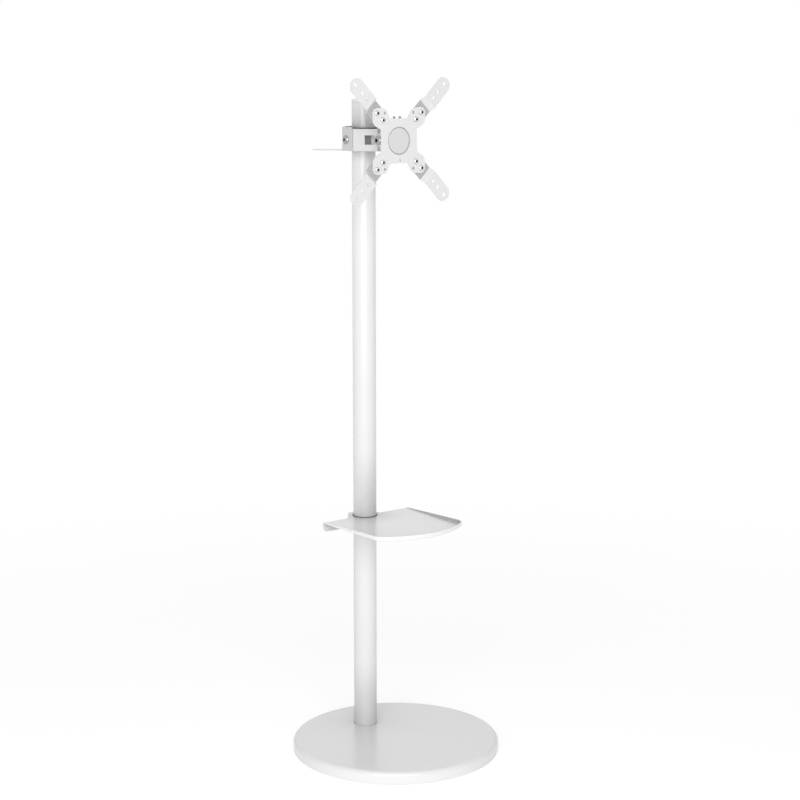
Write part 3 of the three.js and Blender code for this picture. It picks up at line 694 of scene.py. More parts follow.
@dataclass(frozen=True)
class Finish:
    """One finish of the stand, with the numbers that make up its surface."""

    slot: str
    dark: float
    pale: float
    rough_low: float
    rough_high: float
    swell: float
    grain: float
    grain_mix: float
    relief: float
    metallic: float = 0.0
    smudge_size: float = 12.0
    streaks: float = 0.2
    specular: float = 0.5
    speckle: float = 1.0
    coat: float = 0.0
    coat_roughness: float = 0.2
    touch_share: float = 0.6
    bump: float = 0.35
    # Painted shade, darkening the colour where nearby surfaces would shade it.
    shelter: PaintedShade | None = None

    def make(self, name: str, groups: EffectGroups) -> bpy.types.Material:
        """Builds the finish's material.

        Args:
            name: The material's name.
            groups: The node groups that the finishes share.

        Returns:
            The material.
        """
        material = bpy.data.materials.new(name)
        material.use_nodes = True
        material.diffuse_color = grey(self.pale)
        graph = Graph(material.node_tree)
        grain, handling = (self.swell, self.grain, self.grain_mix), (self.smudge_size, self.streaks)
        skin = graph.add("Group", *grain, node_tree=groups.grain, label="skin").outputs
        touched = graph.add("Group", *handling, node_tree=groups.handling, label="touch")
        touch = touched.outputs["Mask"]
        fine = graph.math("MULTIPLY", skin["Tone"], self.speckle)
        tone = graph.math("MULTIPLY_ADD", touch, self.touch_share, fine)
        shown = graph.mix_colour(tone, grey(self.dark), grey(self.pale))
        # Paint shade into the colour where nearby surfaces would shade it.
        if self.shelter:
            shown = self.shelter.shade(graph, groups.shelter, shown)
        relief = {"Strength": self.bump, "Distance": self.relief * MM, "Height": skin["Height"]}
        shader = graph.add(
            "BsdfPrincipled",
            Base_Color=shown,
            Roughness=graph.spread(touch, To_Min=self.rough_low, To_Max=self.rough_high),
            Normal=graph.add("Bump", **relief).outputs[0],
            Metallic=self.metallic,
            Specular_IOR_Level=self.specular,
            Coat_Weight=self.coat,
            Coat_Roughness=self.coat_roughness,
        )
        graph.add("OutputMaterial", shader.outputs[0])
        return material


def powder(*levels: float, relief: float = 0.05, **looks: object) -> Finish:
    """White powder coat of four levels: dark, pale, lowest and highest roughness."""
    grain = (520.0, 1900.0, 0.25, relief)
    return Finish("white_powder_coat", *levels, *grain, speckle=0.25, **looks)


def nickel(*levels: float, relief: float = 0.015) -> Finish:
    """Nickel plate of the same four levels."""
    grain = (900.0, 4000.0, 0.6, relief)
    return Finish("nickel_fasteners", *levels, *grain, metallic=1.0, smudge_size=160.0)


def plastic(slot: str, *levels: float) -> Finish:
    """Moulded plastic of the same four levels and the scale of its swells and its grain."""
    return Finish(slot, *levels, 0.5, 0.03)


LEVEL_LOOKS = {"relief": 0.07, "streaks": 0.04, "specular": 0.4}


class Coat(Enum):
    """The finishes of the stand; some copies of the white powder coat are paler as painted light
    and some darker as painted shade.
    """

    POWDER = powder(0.765, 0.795, 0.20, 0.27, relief=0.07, coat=0.35)
    # Paler copy of the white powder coat, painted light for the base's top, with painted shade on
    # the top round the pole's foot.
    BASE = powder(
        0.827, 0.838, 0.24, 0.265, **LEVEL_LOOKS, coat=0.15, shelter=PaintedShade(0.5, 0.11, upward=1.0)
    )
    # The pole's coat with painted shade, darker just above the base, the shelf and the clamp.
    POLE = powder(
        0.765, 0.795, 0.20, 0.27, relief=0.07, coat=0.35, shelter=PaintedShade(0.42, 0.13, down=1.0)
    )
    # Paler copy of the white powder coat, painted light for the shelf's top, with painted shade in
    # its corners, on the rim's inner faces and on the flange under it.
    TRAY = powder(0.877, 0.888, 0.24, 0.265, **LEVEL_LOOKS, coat=0.1, shelter=PaintedShade(1.0, 0.06))
    # Darker copy of the white powder coat: painted shade on the plate, the arms and the tilt joint.
    MOUNT = powder(0.72, 0.75, 0.22, 0.29)
    # Darker copy of the white powder coat: painted shade on the clamp behind the plate.
    CLAMP = powder(0.57, 0.60, 0.28, 0.34)
    # Darker copy of the white powder coat: painted shade on the hub, which sits recessed behind the
    # plate's hole.
    HUB = powder(0.63, 0.66, 0.22, 0.28)
    # Still darker copy of the white powder coat: painted shade on the arms' roots behind the plate.
    ROOT = powder(0.42, 0.45, 0.22, 0.28)
    NICKEL = nickel(0.55, 0.72, 0.16, 0.28)
    BOLT = nickel(0.32, 0.42, 0.16, 0.28)
    # Near-black copy of the nickel: painted shade in the hexagon sockets.
    SOCKET = nickel(0.012, 0.03, 0.45, 0.6, relief=0.02)
    STEEL = Finish(
        "bare_steel", 0.30, 0.42, 0.30, 0.46, 90.0, 1400.0, 0.4, 0.04, metallic=1.0, streaks=0.55
    )
    NYLON = plastic("grey_plastic", 0.045, 0.075, 0.48, 0.60, 700.0, 3000.0)
    GREY = plastic("grey_plastic", 0.20, 0.26, 0.48, 0.60, 700.0, 3000.0)
    CAP = plastic("white_plastic", 0.74, 0.80, 0.42, 0.52, 1600.0, 5200.0)
    RUBBER = Finish("black_rubber", 0.012, 0.028, 0.72, 0.88, 400.0, 2600.0, 0.6, 0.06)


class Finishes:
    """Makes each finish once and gives it to the pieces."""

    def __init__(self) -> None:
        """Builds the shared groups and all materials."""
        groups = EffectGroups(make_grain_group(), make_handling_group(), make_shelter_group())
        self.materials = {coat: coat.value.make(coat.name.lower(), groups) for coat in Coat}

    def dress(self, piece: Piece, coat: Coat) -> None:
        """Gives a piece one finish all over."""
        piece.data.materials.clear()
        piece.data.materials.append(self.materials[coat])


class Workshop:
    """Puts finished pieces in the place of the frame's nodes."""

    def __init__(self, loaded: dict) -> None:
        """Notes which body each node rides on.

        Args:
            loaded: The frame.
        """
        self.nodes = loaded["nodes"]
        bodies = loaded["record"]["behaviour"]["bodies"]
        self.body_of = {node: body for body, nodes in bodies.items() for node in nodes}
        self.finishes = Finishes()

    def fit(self, piece: Piece, node: str, coat: Coat, place: Matrix | None = None) -> None:
        """Moves a piece to its place, dresses it and lets it stand for a node.

        Args:
            piece: The finished piece.
            node: The node's name.
            coat: The finish, unless the piece has its own already.
            place: The move to the node's place, if the piece isn't there yet.
        """
        settle(piece, place)
        piece.name = piece.data.name = f"{node}_finished"
        if not piece.data.materials or piece.data.materials[0] is None:
            self.finishes.dress(piece, coat)
        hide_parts(node)
        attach(piece, self.body_of[node])
        faces = len(piece.data.polygons)
        LOG.info("%s: %d faces, rides on %s", piece.name, faces, self.body_of[node])

    def keep(self, node: str, coat: Coat) -> None:
        """Leaves a node as it is and dresses it."""
        self.finishes.dress(self.nodes[node], coat)
        LOG.info("%s: kept, dressed as %s", node, coat.name.lower())


# ---- Places that several sub-assemblies share ----

POLE_RADIUS = 22.0
POLE_SETBACK = 96.0
SHELF_HEIGHT = 435.0
MOUNT_HEIGHT = 1144.0
NOSE_REACH = 62.0
FORK_SCREW_RISE = 8.5
FACE_UP = Matrix.Identity(4)
FACE_FRONT = Matrix.Rotation(pi / 2, 4, "X")
FACE_BACK = Matrix.Rotation(-pi / 2, 4, "X")
FACE_RIGHT = Matrix.Rotation(pi / 2, 4, "Y")
FACE_LEFT = Matrix.Rotation(-pi / 2, 4, "Y")
FACE_DOWN = Matrix.Rotation(pi, 4, "X")
SIDES = (("left", -1, FACE_LEFT, FACE_RIGHT), ("right", 1, FACE_RIGHT, FACE_LEFT))


def at(x: float, y: float, z: float, turn: Matrix = FACE_UP) -> Matrix:
    """The move that turns a piece from +Z and puts its origin at a point."""
    return Matrix.Translation(mm(x, y, z)) @ turn


AT_POLE = at(0, POLE_SETBACK, 0)
AT_SHELF = at(0, POLE_SETBACK, SHELF_HEIGHT)
AT_MOUNT = at(0, POLE_SETBACK, MOUNT_HEIGHT)


# ---- Fasteners ----


@dataclass(frozen=True)
class ButtonScrew:
    """A dome-headed screw with a hexagon socket; its seat is at the origin, its head above."""

    head: float
    rise: float
    shank: float
    socket: float
    length: float
    coat: Coat = Coat.NICKEL
    floor_share: float = 0.3
    chamfer_share: float = 0.12
    sides: int = 40
    nut_height: float = 5.0
    nut_share: float = 1.85
    crown_overrun: float = 0.2
    crown_flat: float = 0.9
    crown_reach: float = 1.04
    crown_drop: float = 0.16

    def make(self, finishes: Finishes) -> Piece:
        """Turns the screw and cuts its socket.

        Args:
            finishes: The finishes of the stand.

        Returns:
            The screw, dressed, with painted shade in its socket: a near-black copy of the nickel.
        """
        chamfer = self.chamfer_share * self.shank
        profile = [(0.0, -self.length), (self.shank - chamfer, -self.length)]
        profile += [(self.shank, chamfer - self.length), (self.shank, 0.0)]
        profile += [(self.head * x, self.rise * y) for x, y in arc((0, 0), 1, 0, pi / 2, 10)[:-1]]
        profile.append((0.0, self.rise))
        floor = self.rise * self.floor_share
        cutter = rod(self.socket, (0, 0, floor), (0, 0, self.rise + OVERRUN), sides=6)
        screw = soften(combine(turned(profile, self.sides), CUT, cutter), 0)
        finishes.dress(screw, self.coat)
        # The socket's walls and floor take a near-black copy of the nickel: painted shade in the
        # recess.
        screw.data.materials.append(finishes.materials[Coat.SOCKET])
        for face in screw.data.polygons:
            x, y, z = face.center / MM
            away, upright = hypot(x, y), abs(face.normal.z) < 0.5
            at_wall = z > floor - TOLERANCE and away < self.socket and upright
            at_floor = abs(z - floor) < TOLERANCE and away < self.socket / 2
            face.material_index = int(at_wall or at_floor)
        return screw

    def make_nut(self) -> Piece:
        """Makes the hexagon nut for this screw, from its seat up.

        Returns:
            The nut, with its corners turned down at both ends.
        """
        corner, height = self.shank * self.nut_share, self.nut_height
        low, high, drop = -self.crown_overrun, height + self.crown_overrun, height * self.crown_drop
        flat, wide = corner * self.crown_flat, corner * self.crown_reach
        cone = [(0.0, low), (flat, low), (wide, drop)]
        cone += [(wide, height - drop), (flat, high), (0.0, high)]
        nut = slab(arc((0, 0), corner, 0, tau * 5 / 6, 5), 0, height)
        combine(nut, KEEP, turned(cone, 48))
        combine(nut, CUT, rod(self.shank + GAP, (0, 0, -OVERRUN), (0, 0, height + OVERRUN)))
        return soften(even_out(nut), 0)


class Screws(Enum):
    """The screws of the stand by where they are used."""

    ARM = ButtonScrew(5.2, 3.2, 2.4, 2.5, 7)
    CLAMP = ButtonScrew(8.2, 4.4, 3.6, 2.9, 13, Coat.BOLT)
    TILT = ButtonScrew(8.8, 4.4, 4, 3.4, 50, Coat.BOLT)
    FORK = ButtonScrew(4.4, 2.8, 2.2, 1.6, 16)
    HUB = ButtonScrew(7, 3.2, 3.4, 2.6, 8)
    COLLAR = ButtonScrew(4.6, 2.9, 2.4, 1.8, 24)
    BASE = ButtonScrew(7, 3.4, 3.8, 2.9, 14)
    LOCK = ButtonScrew(2.4, 1.1, 1.5, 1, 4.6)

    @property
    def bore(self) -> float:
        """Radius of the hole that the shank passes through."""
        return self.value.shank + GAP


class FastenerTray:
    """Makes each screw and nut once and hands out copies."""

    def __init__(self, shop: Workshop) -> None:
        """Makes one of each.

        Args:
            shop: The workshop that the fasteners are fitted in.
        """
        self.shop = shop
        self.screws = {size: size.value.make(shop.finishes) for size in Screws}
        with_nut = (Screws.CLAMP, Screws.TILT, Screws.COLLAR)
        self.nuts = {size: size.value.make_nut() for size in with_nut}

    def screw(self, size: Screws, node: str, place: Matrix) -> None:
        """Fits a screw with its seat at a place."""
        self.shop.fit(twin(self.screws[size]), node, Coat.NICKEL, place)

    def nut(self, size: Screws, node: str, place: Matrix) -> None:
        """Fits a nut with its seat at a place."""
        self.shop.fit(twin(self.nuts[size]), node, Coat.NICKEL, place)

    def clear(self) -> None:
        """Removes the first of each, which no node stands for."""
        for piece in (*self.screws.values(), *self.nuts.values()):
            bpy.data.objects.remove(piece)


def fork_drills(start: float, end: float) -> list[Piece]:
    """The drills for the fork's two screws, between two distances in front of the pole's axis."""
    rises = (-FORK_SCREW_RISE, FORK_SCREW_RISE)
    return [rod(Screws.FORK.bore, (0, -start, z), (0, -end, z), HOLE_SIDES) for z in rises]


# ---- Sub-assemblies ----


@dataclass(frozen=True)
class SubAssembly(ABC):
    """A part of the stand, whose pieces are made and fitted together."""

    shop: Workshop
    tray: FastenerTray

    @abstractmethod
    def build(self) -> None:
        """Makes the pieces and fits them."""


@dataclass(frozen=True)
class RoundBase(SubAssembly):
    """The weighted base: a pressed cover, a heavy plate, its bolts and the rubber pads."""

    radius: float = 194.0
    wall: float = 2.4
    edge_radius: float = 8.0
    cover_edge: float = 0.35
    floor_gap: float = 1.5
    height: float = 23.0
    top_rings: tuple[float, ...] = (150.0, 110.0, 70.0, 35.0)
    round_steps: int = 192
    ballast_radius: float = 191.0
    ballast_foot: float = 5.0
    ballast_top: float = 14.0
    ballast_edge: float = 0.6
    bolt_circle: float = 38.0
    pad_radius: float = 12.0
    pad_height: float = 4.7
    pad_edge: float = 0.8
    pad_draft: float = 0.4
    pad_groove: float = 0.5
    pad_foot: tuple[Point2, ...] = (
        (0.0, 1), (0.42, 1), (0.46, 0), (0.66, 0), (0.69, 1), (0.78, 1), (0.81, 0)
    )
    pad_circle: float = 165.0

    def make_cover(self) -> Piece:
        """Presses the cover and cuts the hole for the pole.

        Returns:
            The cover.
        """
        inner, ceiling = self.radius - self.wall, self.height - self.wall
        under = rounded_edge(inner, ceiling, self.edge_radius - self.wall, 8)
        profile = [(0.0, ceiling), *under[::-1], (inner, self.floor_gap)]
        profile.append((self.radius, self.floor_gap))
        profile += rounded_edge(self.radius, self.height, self.edge_radius, 12)
        profile += [(radius, self.height) for radius in (*self.top_rings, 0.0)]
        low = (0, POLE_SETBACK, ceiling - OVERRUN)
        hole = rod(POLE_RADIUS + GAP, low, (0, POLE_SETBACK, self.height + OVERRUN), ROUND)
        return soften(combine(turned(profile, self.round_steps), CUT, hole), self.cover_edge)

    def make_ballast(self, bolts: Sequence[Point2]) -> Piece:
        """Cuts the heavy plate inside the cover and drills it for the pole's bolts.

        Args:
            bolts: The places of the bolts.

        Returns:
            The plate.
        """
        last = self.round_steps - 1
        outline = arc((0, 0), self.ballast_radius, 0, tau * (1 - 1 / self.round_steps), last)
        plate = slab(outline, self.ballast_foot, self.ballast_top)
        holes = [rod(Screws.BASE.bore, (x, y, 0), (x, y, self.height)) for x, y in bolts]
        return soften(combine(plate, CUT, *holes), self.ballast_edge)

    def make_pad(self) -> Piece:
        """Moulds one rubber pad, with a groove in its foot.

        Returns:
            The pad.
        """
        radius, top, edge = self.pad_radius, self.pad_height, self.pad_edge
        profile = [(radius * share, self.pad_groove * up) for share, up in self.pad_foot]
        profile += arc((radius - edge, edge), edge, -pi / 2, 0, 4)
        profile += [(radius - self.pad_draft, top), (0.0, top)]
        return soften(turned(profile, 48), 0)

    def build(self) -> None:
        """Makes the base's pieces and fits them."""
        bolts = arc((0, POLE_SETBACK), self.bolt_circle, pi / 4, 1.75 * pi, 3)
        # The cover wears painted light on its top and painted shade round the pole's foot.
        self.shop.fit(self.make_cover(), "base_cover", Coat.BASE)
        self.shop.fit(self.make_ballast(bolts), "ballast_plate", Coat.STEEL)
        self.shop.keep("pole_foot_flange", Coat.STEEL)
        for i, (x, y) in enumerate(bolts, 1):
            seat = at(x, y, self.ballast_foot - GAP, FACE_DOWN)
            self.tray.screw(Screws.BASE, f"foot_bolt_{i}", seat)
        pad = self.make_pad()
        for i, (x, y) in enumerate(arc((0, 0), self.pad_circle, 0, tau * 5 / 6, 5), 1):
            self.shop.fit(twin(pad), f"floor_pad_{i}", Coat.RUBBER, at(x, y, 0))
        self.shop.fit(pad, "floor_pad_centre", Coat.RUBBER)


@dataclass(frozen=True)
class Pole(SubAssembly):
    """The upright tube and the cap that closes it."""

    wall: float = 2.0
    foot: float = 20.6
    top: float = 1210.6
    cap_height: float = 4.7
    cap_edge: float = 1.5
    cap_chamfer: float = 0.25
    cap_flat: float = 17.0
    plug_length: float = 14.0
    plug_wall: float = 2.0
    plug_chamfer: float = 0.6
    steps: int = 128

    def make_cap(self) -> Piece:
        """Moulds the cap with its plug.

        Returns:
            The cap.
        """
        plug, seat = POLE_RADIUS - self.wall - GAP, self.top + GAP
        inner, crown, end = plug - self.plug_wall, seat + self.cap_height, seat - self.plug_length
        profile = [(0.0, seat), (inner, seat), (inner, end), (plug - self.plug_chamfer, end)]
        profile += [(plug, end + self.plug_chamfer), (plug, seat)]
        profile += [(POLE_RADIUS - self.cap_chamfer, seat), (POLE_RADIUS, seat + self.cap_chamfer)]
        profile += rounded_edge(POLE_RADIUS, crown, self.cap_edge, 6)
        profile += [(self.cap_flat, crown), (0.0, crown)]
        return soften(turned(profile, self.steps), 0)

    def build(self) -> None:
        """Makes the pole and its cap and fits them."""
        tube = ring(POLE_RADIUS - self.wall, POLE_RADIUS, self.foot, self.top, self.steps)
        # The tube's coat paints shade on it just above the base, the shelf and the clamp.
        self.shop.fit(tube, "pole_tube", Coat.POLE, AT_POLE)
        self.shop.fit(self.make_cap(), "pole_cap", Coat.CAP, AT_POLE)


@dataclass(frozen=True)
class Shelf(SubAssembly):
    """The shelf: a folded tray, the collar that grips the pole, its screw and the bush inside."""

    width: float = 200.0
    sheet: float = 1.8
    rim: float = 6.4
    rear_rim: float = 1.0
    taper: float = 150.0
    rear_edge: float = 2.0
    side_reach: float = 171.0
    bow: float = 36.0
    corner: float = 22.0
    outer_fold: float = 2.4
    inner_fold: float = 0.5
    sheet_edge: float = 0.35
    tab_radius: float = 33.0
    drop: float = 18.0
    flange_corner: float = 9.0
    flange_root: float = 0.7
    hole_gap: float = 1.6
    collar_wall: float = 5.0
    collar_height: float = 24.0
    collar_edge: float = 0.5
    ear_reach: float = 13.0
    ear_width: float = 6.0
    slit: float = 4.0
    bush_lip: float = 1.0
    bush_edge: float = 0.2

    @property
    def bore(self) -> float:
        """Radius of the hole in the tray and in the collar."""
        return POLE_RADIUS + self.hole_gap

    @property
    def collar_foot(self) -> float:
        """Level of the collar's lower end."""
        return -self.sheet - GAP - self.collar_height

    @property
    def screw_line(self) -> Point2:
        """How far behind the pole's axis and at which level the collar's screw lies."""
        back = self.bore + self.collar_wall + self.ear_reach / 2
        return (back, self.collar_foot + self.collar_height / 2)

    def outline(self, inset: float, rear_overrun: float) -> list[Point2]:
        """The tray's outline from above, set in from its edge.

        Args:
            inset: How far it is set in.
            rear_overrun: How far it runs past the rear edge.

        Returns:
            The outline, with the pole's axis at the origin.
        """
        half = self.width / 2 - inset
        rear = rear_overrun - self.rear_edge
        bow_radius = ((self.width / 2) ** 2 + self.bow**2) / (2 * self.bow)
        bow_centre = bow_radius - self.side_reach - self.bow
        front, corner = bow_radius - inset, self.corner - inset
        x = half - corner
        y = bow_centre - sqrt((front - corner) ** 2 - x**2)
        turn = atan2(y - bow_centre, x)
        return [
            (half, rear),
            (-half, rear),
            *arc((-x, y), corner, pi, pi - turn, 10),
            *arc((0, bow_centre), front, pi - turn, tau + turn, 40)[1:-1],
            *arc((x, y), corner, turn, 0, 10),
        ]

    def fold(self, piece: Piece, level: float, radius: float) -> Piece:
        """Rounds the edges round a level that lie in front of the rear edge, as a fold does.

        Args:
            piece: The slab.
            level: Height of the edges.
            radius: Radius of the fold.

        Returns:
            The same piece.
        """
        with editing(piece):
            bpy.ops.mesh.select_mode(type="EDGE")
            bpy.ops.mesh.select_all(action="DESELECT")
            bpy.ops.object.mode_set(mode="OBJECT")
            for edge in piece.data.edges:
                ends = [piece.data.vertices[i].co for i in edge.vertices]
                at_level = all(abs(end.z - level * MM) < MERGE_DISTANCE for end in ends)
                at_rear = all(end.y > -(self.rear_edge + self.sheet) * MM for end in ends)
                edge.select = at_level and not at_rear
            bpy.ops.object.mode_set(mode="EDIT")
            bpy.ops.mesh.bevel(
                offset=radius * MM, segments=4, affect="EDGES", clamp_overlap=False
            )
        return piece

    def make_flange(self) -> Piece:
        """Cuts the flange down the rear edge, with room for the collar.

        Returns:
            The flange, which runs up to the rim so that the taper trims both at once.
        """
        half, foot, corner = self.width / 2, -self.drop, self.flange_corner
        shape = [
            (-half, self.rim),
            *arc((corner - half, foot + corner), corner, pi, 1.5 * pi, 8),
            *arc((half - corner, foot + corner), corner, -pi / 2, 0, 8),
            (half, self.rim),
        ]
        flange = settle(slab(shape, 0, self.sheet), at(0, -self.rear_edge, 0, FACE_FRONT))
        room = self.bore + self.collar_wall + 2 * GAP
        top = (0, 0, -self.flange_root * self.sheet)
        return combine(flange, CUT, rod(room, (0, 0, foot - OVERRUN), top, sides=72))

    def make_tray(self) -> Piece:
        """Makes the tray with its rim, the tab round the pole and the flange.

        Returns:
            The tray.
        """
        half, floor, rear = self.width / 2, -self.sheet, -self.rear_edge
        tray = self.fold(slab(self.outline(0, floor / 2), floor, self.rim), floor, self.outer_fold)
        hollow = slab(self.outline(self.sheet, OVERRUN), 0, self.rim + OVERRUN)
        self.fold(hollow, 0, self.inner_fold)
        slope = [(rear + OVERRUN, z) for z in (self.rear_rim, self.rim + OVERRUN)]
        slope += [(rear - self.taper, z) for z in (self.rim + OVERRUN, self.rim)]
        slope.append((rear, self.rear_rim))
        taper = slab(slope, -half - OVERRUN, half + OVERRUN, Plane.YZ)
        flange = self.make_flange()
        tab = rod(self.tab_radius, (0, 0, floor), (0, 0, 0), ROUND)
        hole = rod(self.bore, (0, 0, floor - OVERRUN), (0, 0, self.rim), ROUND)
        combine(tray, ADD, flange, tab)
        combine(tray, CUT, hollow, taper, hole)
        return soften(even_out(tray), self.sheet_edge)

    def make_collar(self) -> Piece:
        """Makes the split collar under the tray.

        Returns:
            The collar.
        """
        foot, top = self.collar_foot, -self.sheet - GAP
        low, high = foot - OVERRUN, top + OVERRUN
        outer = self.bore + self.collar_wall
        cut, half, reach = self.slit / 2, self.slit / 2 + self.ear_width, outer + self.ear_reach
        collar = rod(outer, (0, 0, foot), (0, 0, top), ROUND)
        ears = brick((-half, self.bore + self.collar_wall / 2, foot), (half, reach, top))
        slit = brick((-cut, 0, low), (cut, reach + OVERRUN, high))
        ends = [(side * (half + OVERRUN), *self.screw_line) for side in (-1, 1)]
        combine(collar, ADD, ears)
        bore = rod(self.bore, (0, 0, low), (0, 0, high), ROUND)
        combine(collar, CUT, bore, slit, rod(Screws.COLLAR.bore, *ends))
        return soften(collar, self.collar_edge, 3)

    def build(self) -> None:
        """Makes the shelf's pieces and fits them."""
        # The tray wears painted light on its top and painted shade in its corners.
        self.shop.fit(self.make_tray(), "shelf_tray", Coat.TRAY, AT_SHELF)
        self.shop.fit(self.make_collar(), "shelf_collar", Coat.POWDER, AT_SHELF)
        foot = self.collar_foot - self.bush_lip
        bush = ring(POLE_RADIUS + GAP, self.bore - GAP, foot, self.bush_lip, edge=self.bush_edge)
        self.shop.fit(bush, "shelf_bush", Coat.NYLON, AT_SHELF)
        seat = self.slit / 2 + self.ear_width + GAP
        place = AT_SHELF @ at(seat, *self.screw_line, FACE_RIGHT)
        self.tray.screw(Screws.COLLAR, "shelf_collar_screw", place)
        place = AT_SHELF @ at(-seat, *self.screw_line, FACE_LEFT)
        self.tray.nut(Screws.COLLAR, "shelf_collar_nut", place)


@dataclass(frozen=True)
class PoleClamp(SubAssembly):
    """The clamp round the pole: yoke, rear half, liner, saddle and the block in its nose."""

    sheet: float = 2.5
    sheet_edge: float = 0.35
    half_width: float = 49.0
    drop: float = 20.3
    yoke_rise: float = 20.0
    rear_rise: float = 22.7
    side_front: float = 29.0
    rear_half_width: float = 21.0
    bend: float = 4.0
    nose_half_width: float = 15.0
    window_length: float = 18.5
    window_height: float = 16.8
    window_setback: float = 5.0
    screw_reach: float = 12.0
    nose_drill: float = 72.0
    liner_wall: float = 1.7
    liner_lip: float = 0.6
    saddle_half_width: float = 22.0
    saddle_depth: float = 11.0
    saddle_inset: float = 1.3
    block_half_width: float = 10.0
    block_half_height: float = 13.5
    block_edge: float = 0.8
    tab_length: float = 58.0
    tab_width: float = 15.0
    tab_tip: float = 8.0
    tab_sheet: float = 2.0
    slot_length: float = 10.0
    slot_width: float = 3.5

    @property
    def liner_outer(self) -> float:
        """Outer radius of the liner."""
        return POLE_RADIUS + GAP + self.liner_wall

    def side_drill(self) -> Piece:
        """The drill for the two side screws."""
        reach = self.half_width + OVERRUN
        return rod(Screws.CLAMP.bore, *[(side * reach, -self.screw_reach, 0) for side in (-1, 1)])

    def make_yoke(self) -> Piece:
        """Bends the front part and cuts a window in each slanted wall.

        Returns:
            The front part.
        """
        half, nose = self.half_width - self.sheet - GAP, self.nose_half_width
        path = mirrored([(-half, -self.bend), (-half, -self.side_front), (-nose, -NOSE_REACH)])
        yoke = slab(bent_strip(path, self.bend, self.sheet), -self.drop, self.yoke_rise)
        run = Vector((half - nose, NOSE_REACH - self.side_front))
        middle = (self.window_setback + self.window_length / 2) / run.length
        deep, wide, tall = 2 * self.sheet, self.window_length / 2, self.window_height / 2
        windows = []
        for side in (-1, 1):
            x, y = side * (nose + middle * run.x), middle * run.y - NOSE_REACH
            corners = [(x + i * wide, y + i * deep, i * tall) for i in (-1, 1)]
            windows.append(brick(*corners, side * atan2(run.y, run.x)))
        combine(yoke, CUT, *windows, self.side_drill(), *fork_drills(0, self.nose_drill))
        return soften(yoke, self.sheet_edge)

    def make_tab(self) -> Piece:
        """Cuts one tab for cable ties, with a slot near its tip.

        Returns:
            The tab, along X.
        """
        root, tip, end = self.tab_width / 2, self.tab_tip / 2, self.tab_length - self.tab_tip
        edge = arc((self.tab_length - tip, 0), tip, -pi / 2, pi / 2, 12)
        tab = slab([(0.0, -root), *edge, (0.0, root)], 0, self.tab_sheet)
        low = (end - self.slot_length, -self.slot_width / 2, -MARGIN)
        slot = brick(low, (end, self.slot_width / 2, self.tab_sheet + MARGIN))
        return combine(tab, CUT, slot)

    def make_rear(self) -> Piece:
        """Bends the rear half that hugs the liner, with two tabs out of its lower edge.

        Returns:
            The rear half.
        """
        reach, half = self.liner_outer + GAP + self.sheet, self.half_width
        path = mirrored([(half, -self.side_front), (half, 0), (self.rear_half_width, reach)])
        rear = slab(bent_strip(path, self.bend, self.sheet), -self.drop, self.rear_rise)
        run = Vector((half - self.rear_half_width, reach))
        along = (self.tab_width / 2 + self.bend) / run.length
        for side in (-1, 1):
            x, y = side * (half - along * run.x), along * run.y - self.sheet
            turn = Matrix.Rotation(atan2(run.x, side * run.y), 4, "Z")
            combine(rear, ADD, settle(self.make_tab(), at(x, y, -self.drop, turn)))
        combine(rear, CUT, self.side_drill())
        return soften(even_out(rear), self.sheet_edge)

    def make_saddle(self) -> Piece:
        """Makes the plastic saddle between the pole and the nose.

        Returns:
            The saddle.
        """
        wide, front = self.saddle_half_width, self.liner_outer + self.saddle_depth
        low = (-wide, -front, self.saddle_inset - self.drop)
        high = (wide, -self.liner_outer / 2, self.yoke_rise - self.saddle_inset)
        ends = (0, 0, -self.drop - OVERRUN), (0, 0, self.yoke_rise + OVERRUN)
        bore = rod(self.liner_outer + GAP, *ends, ROUND)
        return soften(combine(brick(low, high), CUT, bore), self.block_edge, 3)

    def make_block(self) -> Piece:
        """Makes the white block in the nose, drilled for the fork's screws.

        Returns:
            The block.
        """
        wide, tall = self.block_half_width, self.block_half_height
        back = -self.liner_outer - self.saddle_depth - GAP
        block = brick((-wide, self.sheet + GAP - NOSE_REACH, -tall), (wide, back, tall))
        combine(block, CUT, *fork_drills(0, self.nose_drill))
        return soften(block, self.block_edge, 3)

    def build(self) -> None:
        """Makes the clamp's pieces and fits them."""
        low, high = -self.drop - self.liner_lip, self.yoke_rise + self.liner_lip
        liner = ring(POLE_RADIUS + GAP, self.liner_outer, low, high)
        self.shop.fit(liner, "mount_liner", Coat.NYLON, AT_MOUNT)
        # Yoke and rear half wear the darker coat copy, painted shade.
        self.shop.fit(self.make_yoke(), "clamp_yoke", Coat.CLAMP, AT_MOUNT)
        self.shop.fit(self.make_rear(), "clamp_rear", Coat.CLAMP, AT_MOUNT)
        self.shop.fit(self.make_saddle(), "clamp_saddle", Coat.GREY, AT_MOUNT)
        self.shop.fit(self.make_block(), "nose_block", Coat.CAP, AT_MOUNT)
        outside, inside = self.half_width + GAP, self.half_width - 2 * self.sheet - 2 * GAP
        for label, side, out, back in SIDES:
            seat = AT_MOUNT @ at(side * outside, -self.screw_reach, 0, out)
            self.tray.screw(Screws.CLAMP, f"clamp_screw_{label}", seat)
            seat = AT_MOUNT @ at(side * inside, -self.screw_reach, 0, back)
            self.tray.nut(Screws.CLAMP, f"clamp_nut_{label}", seat)


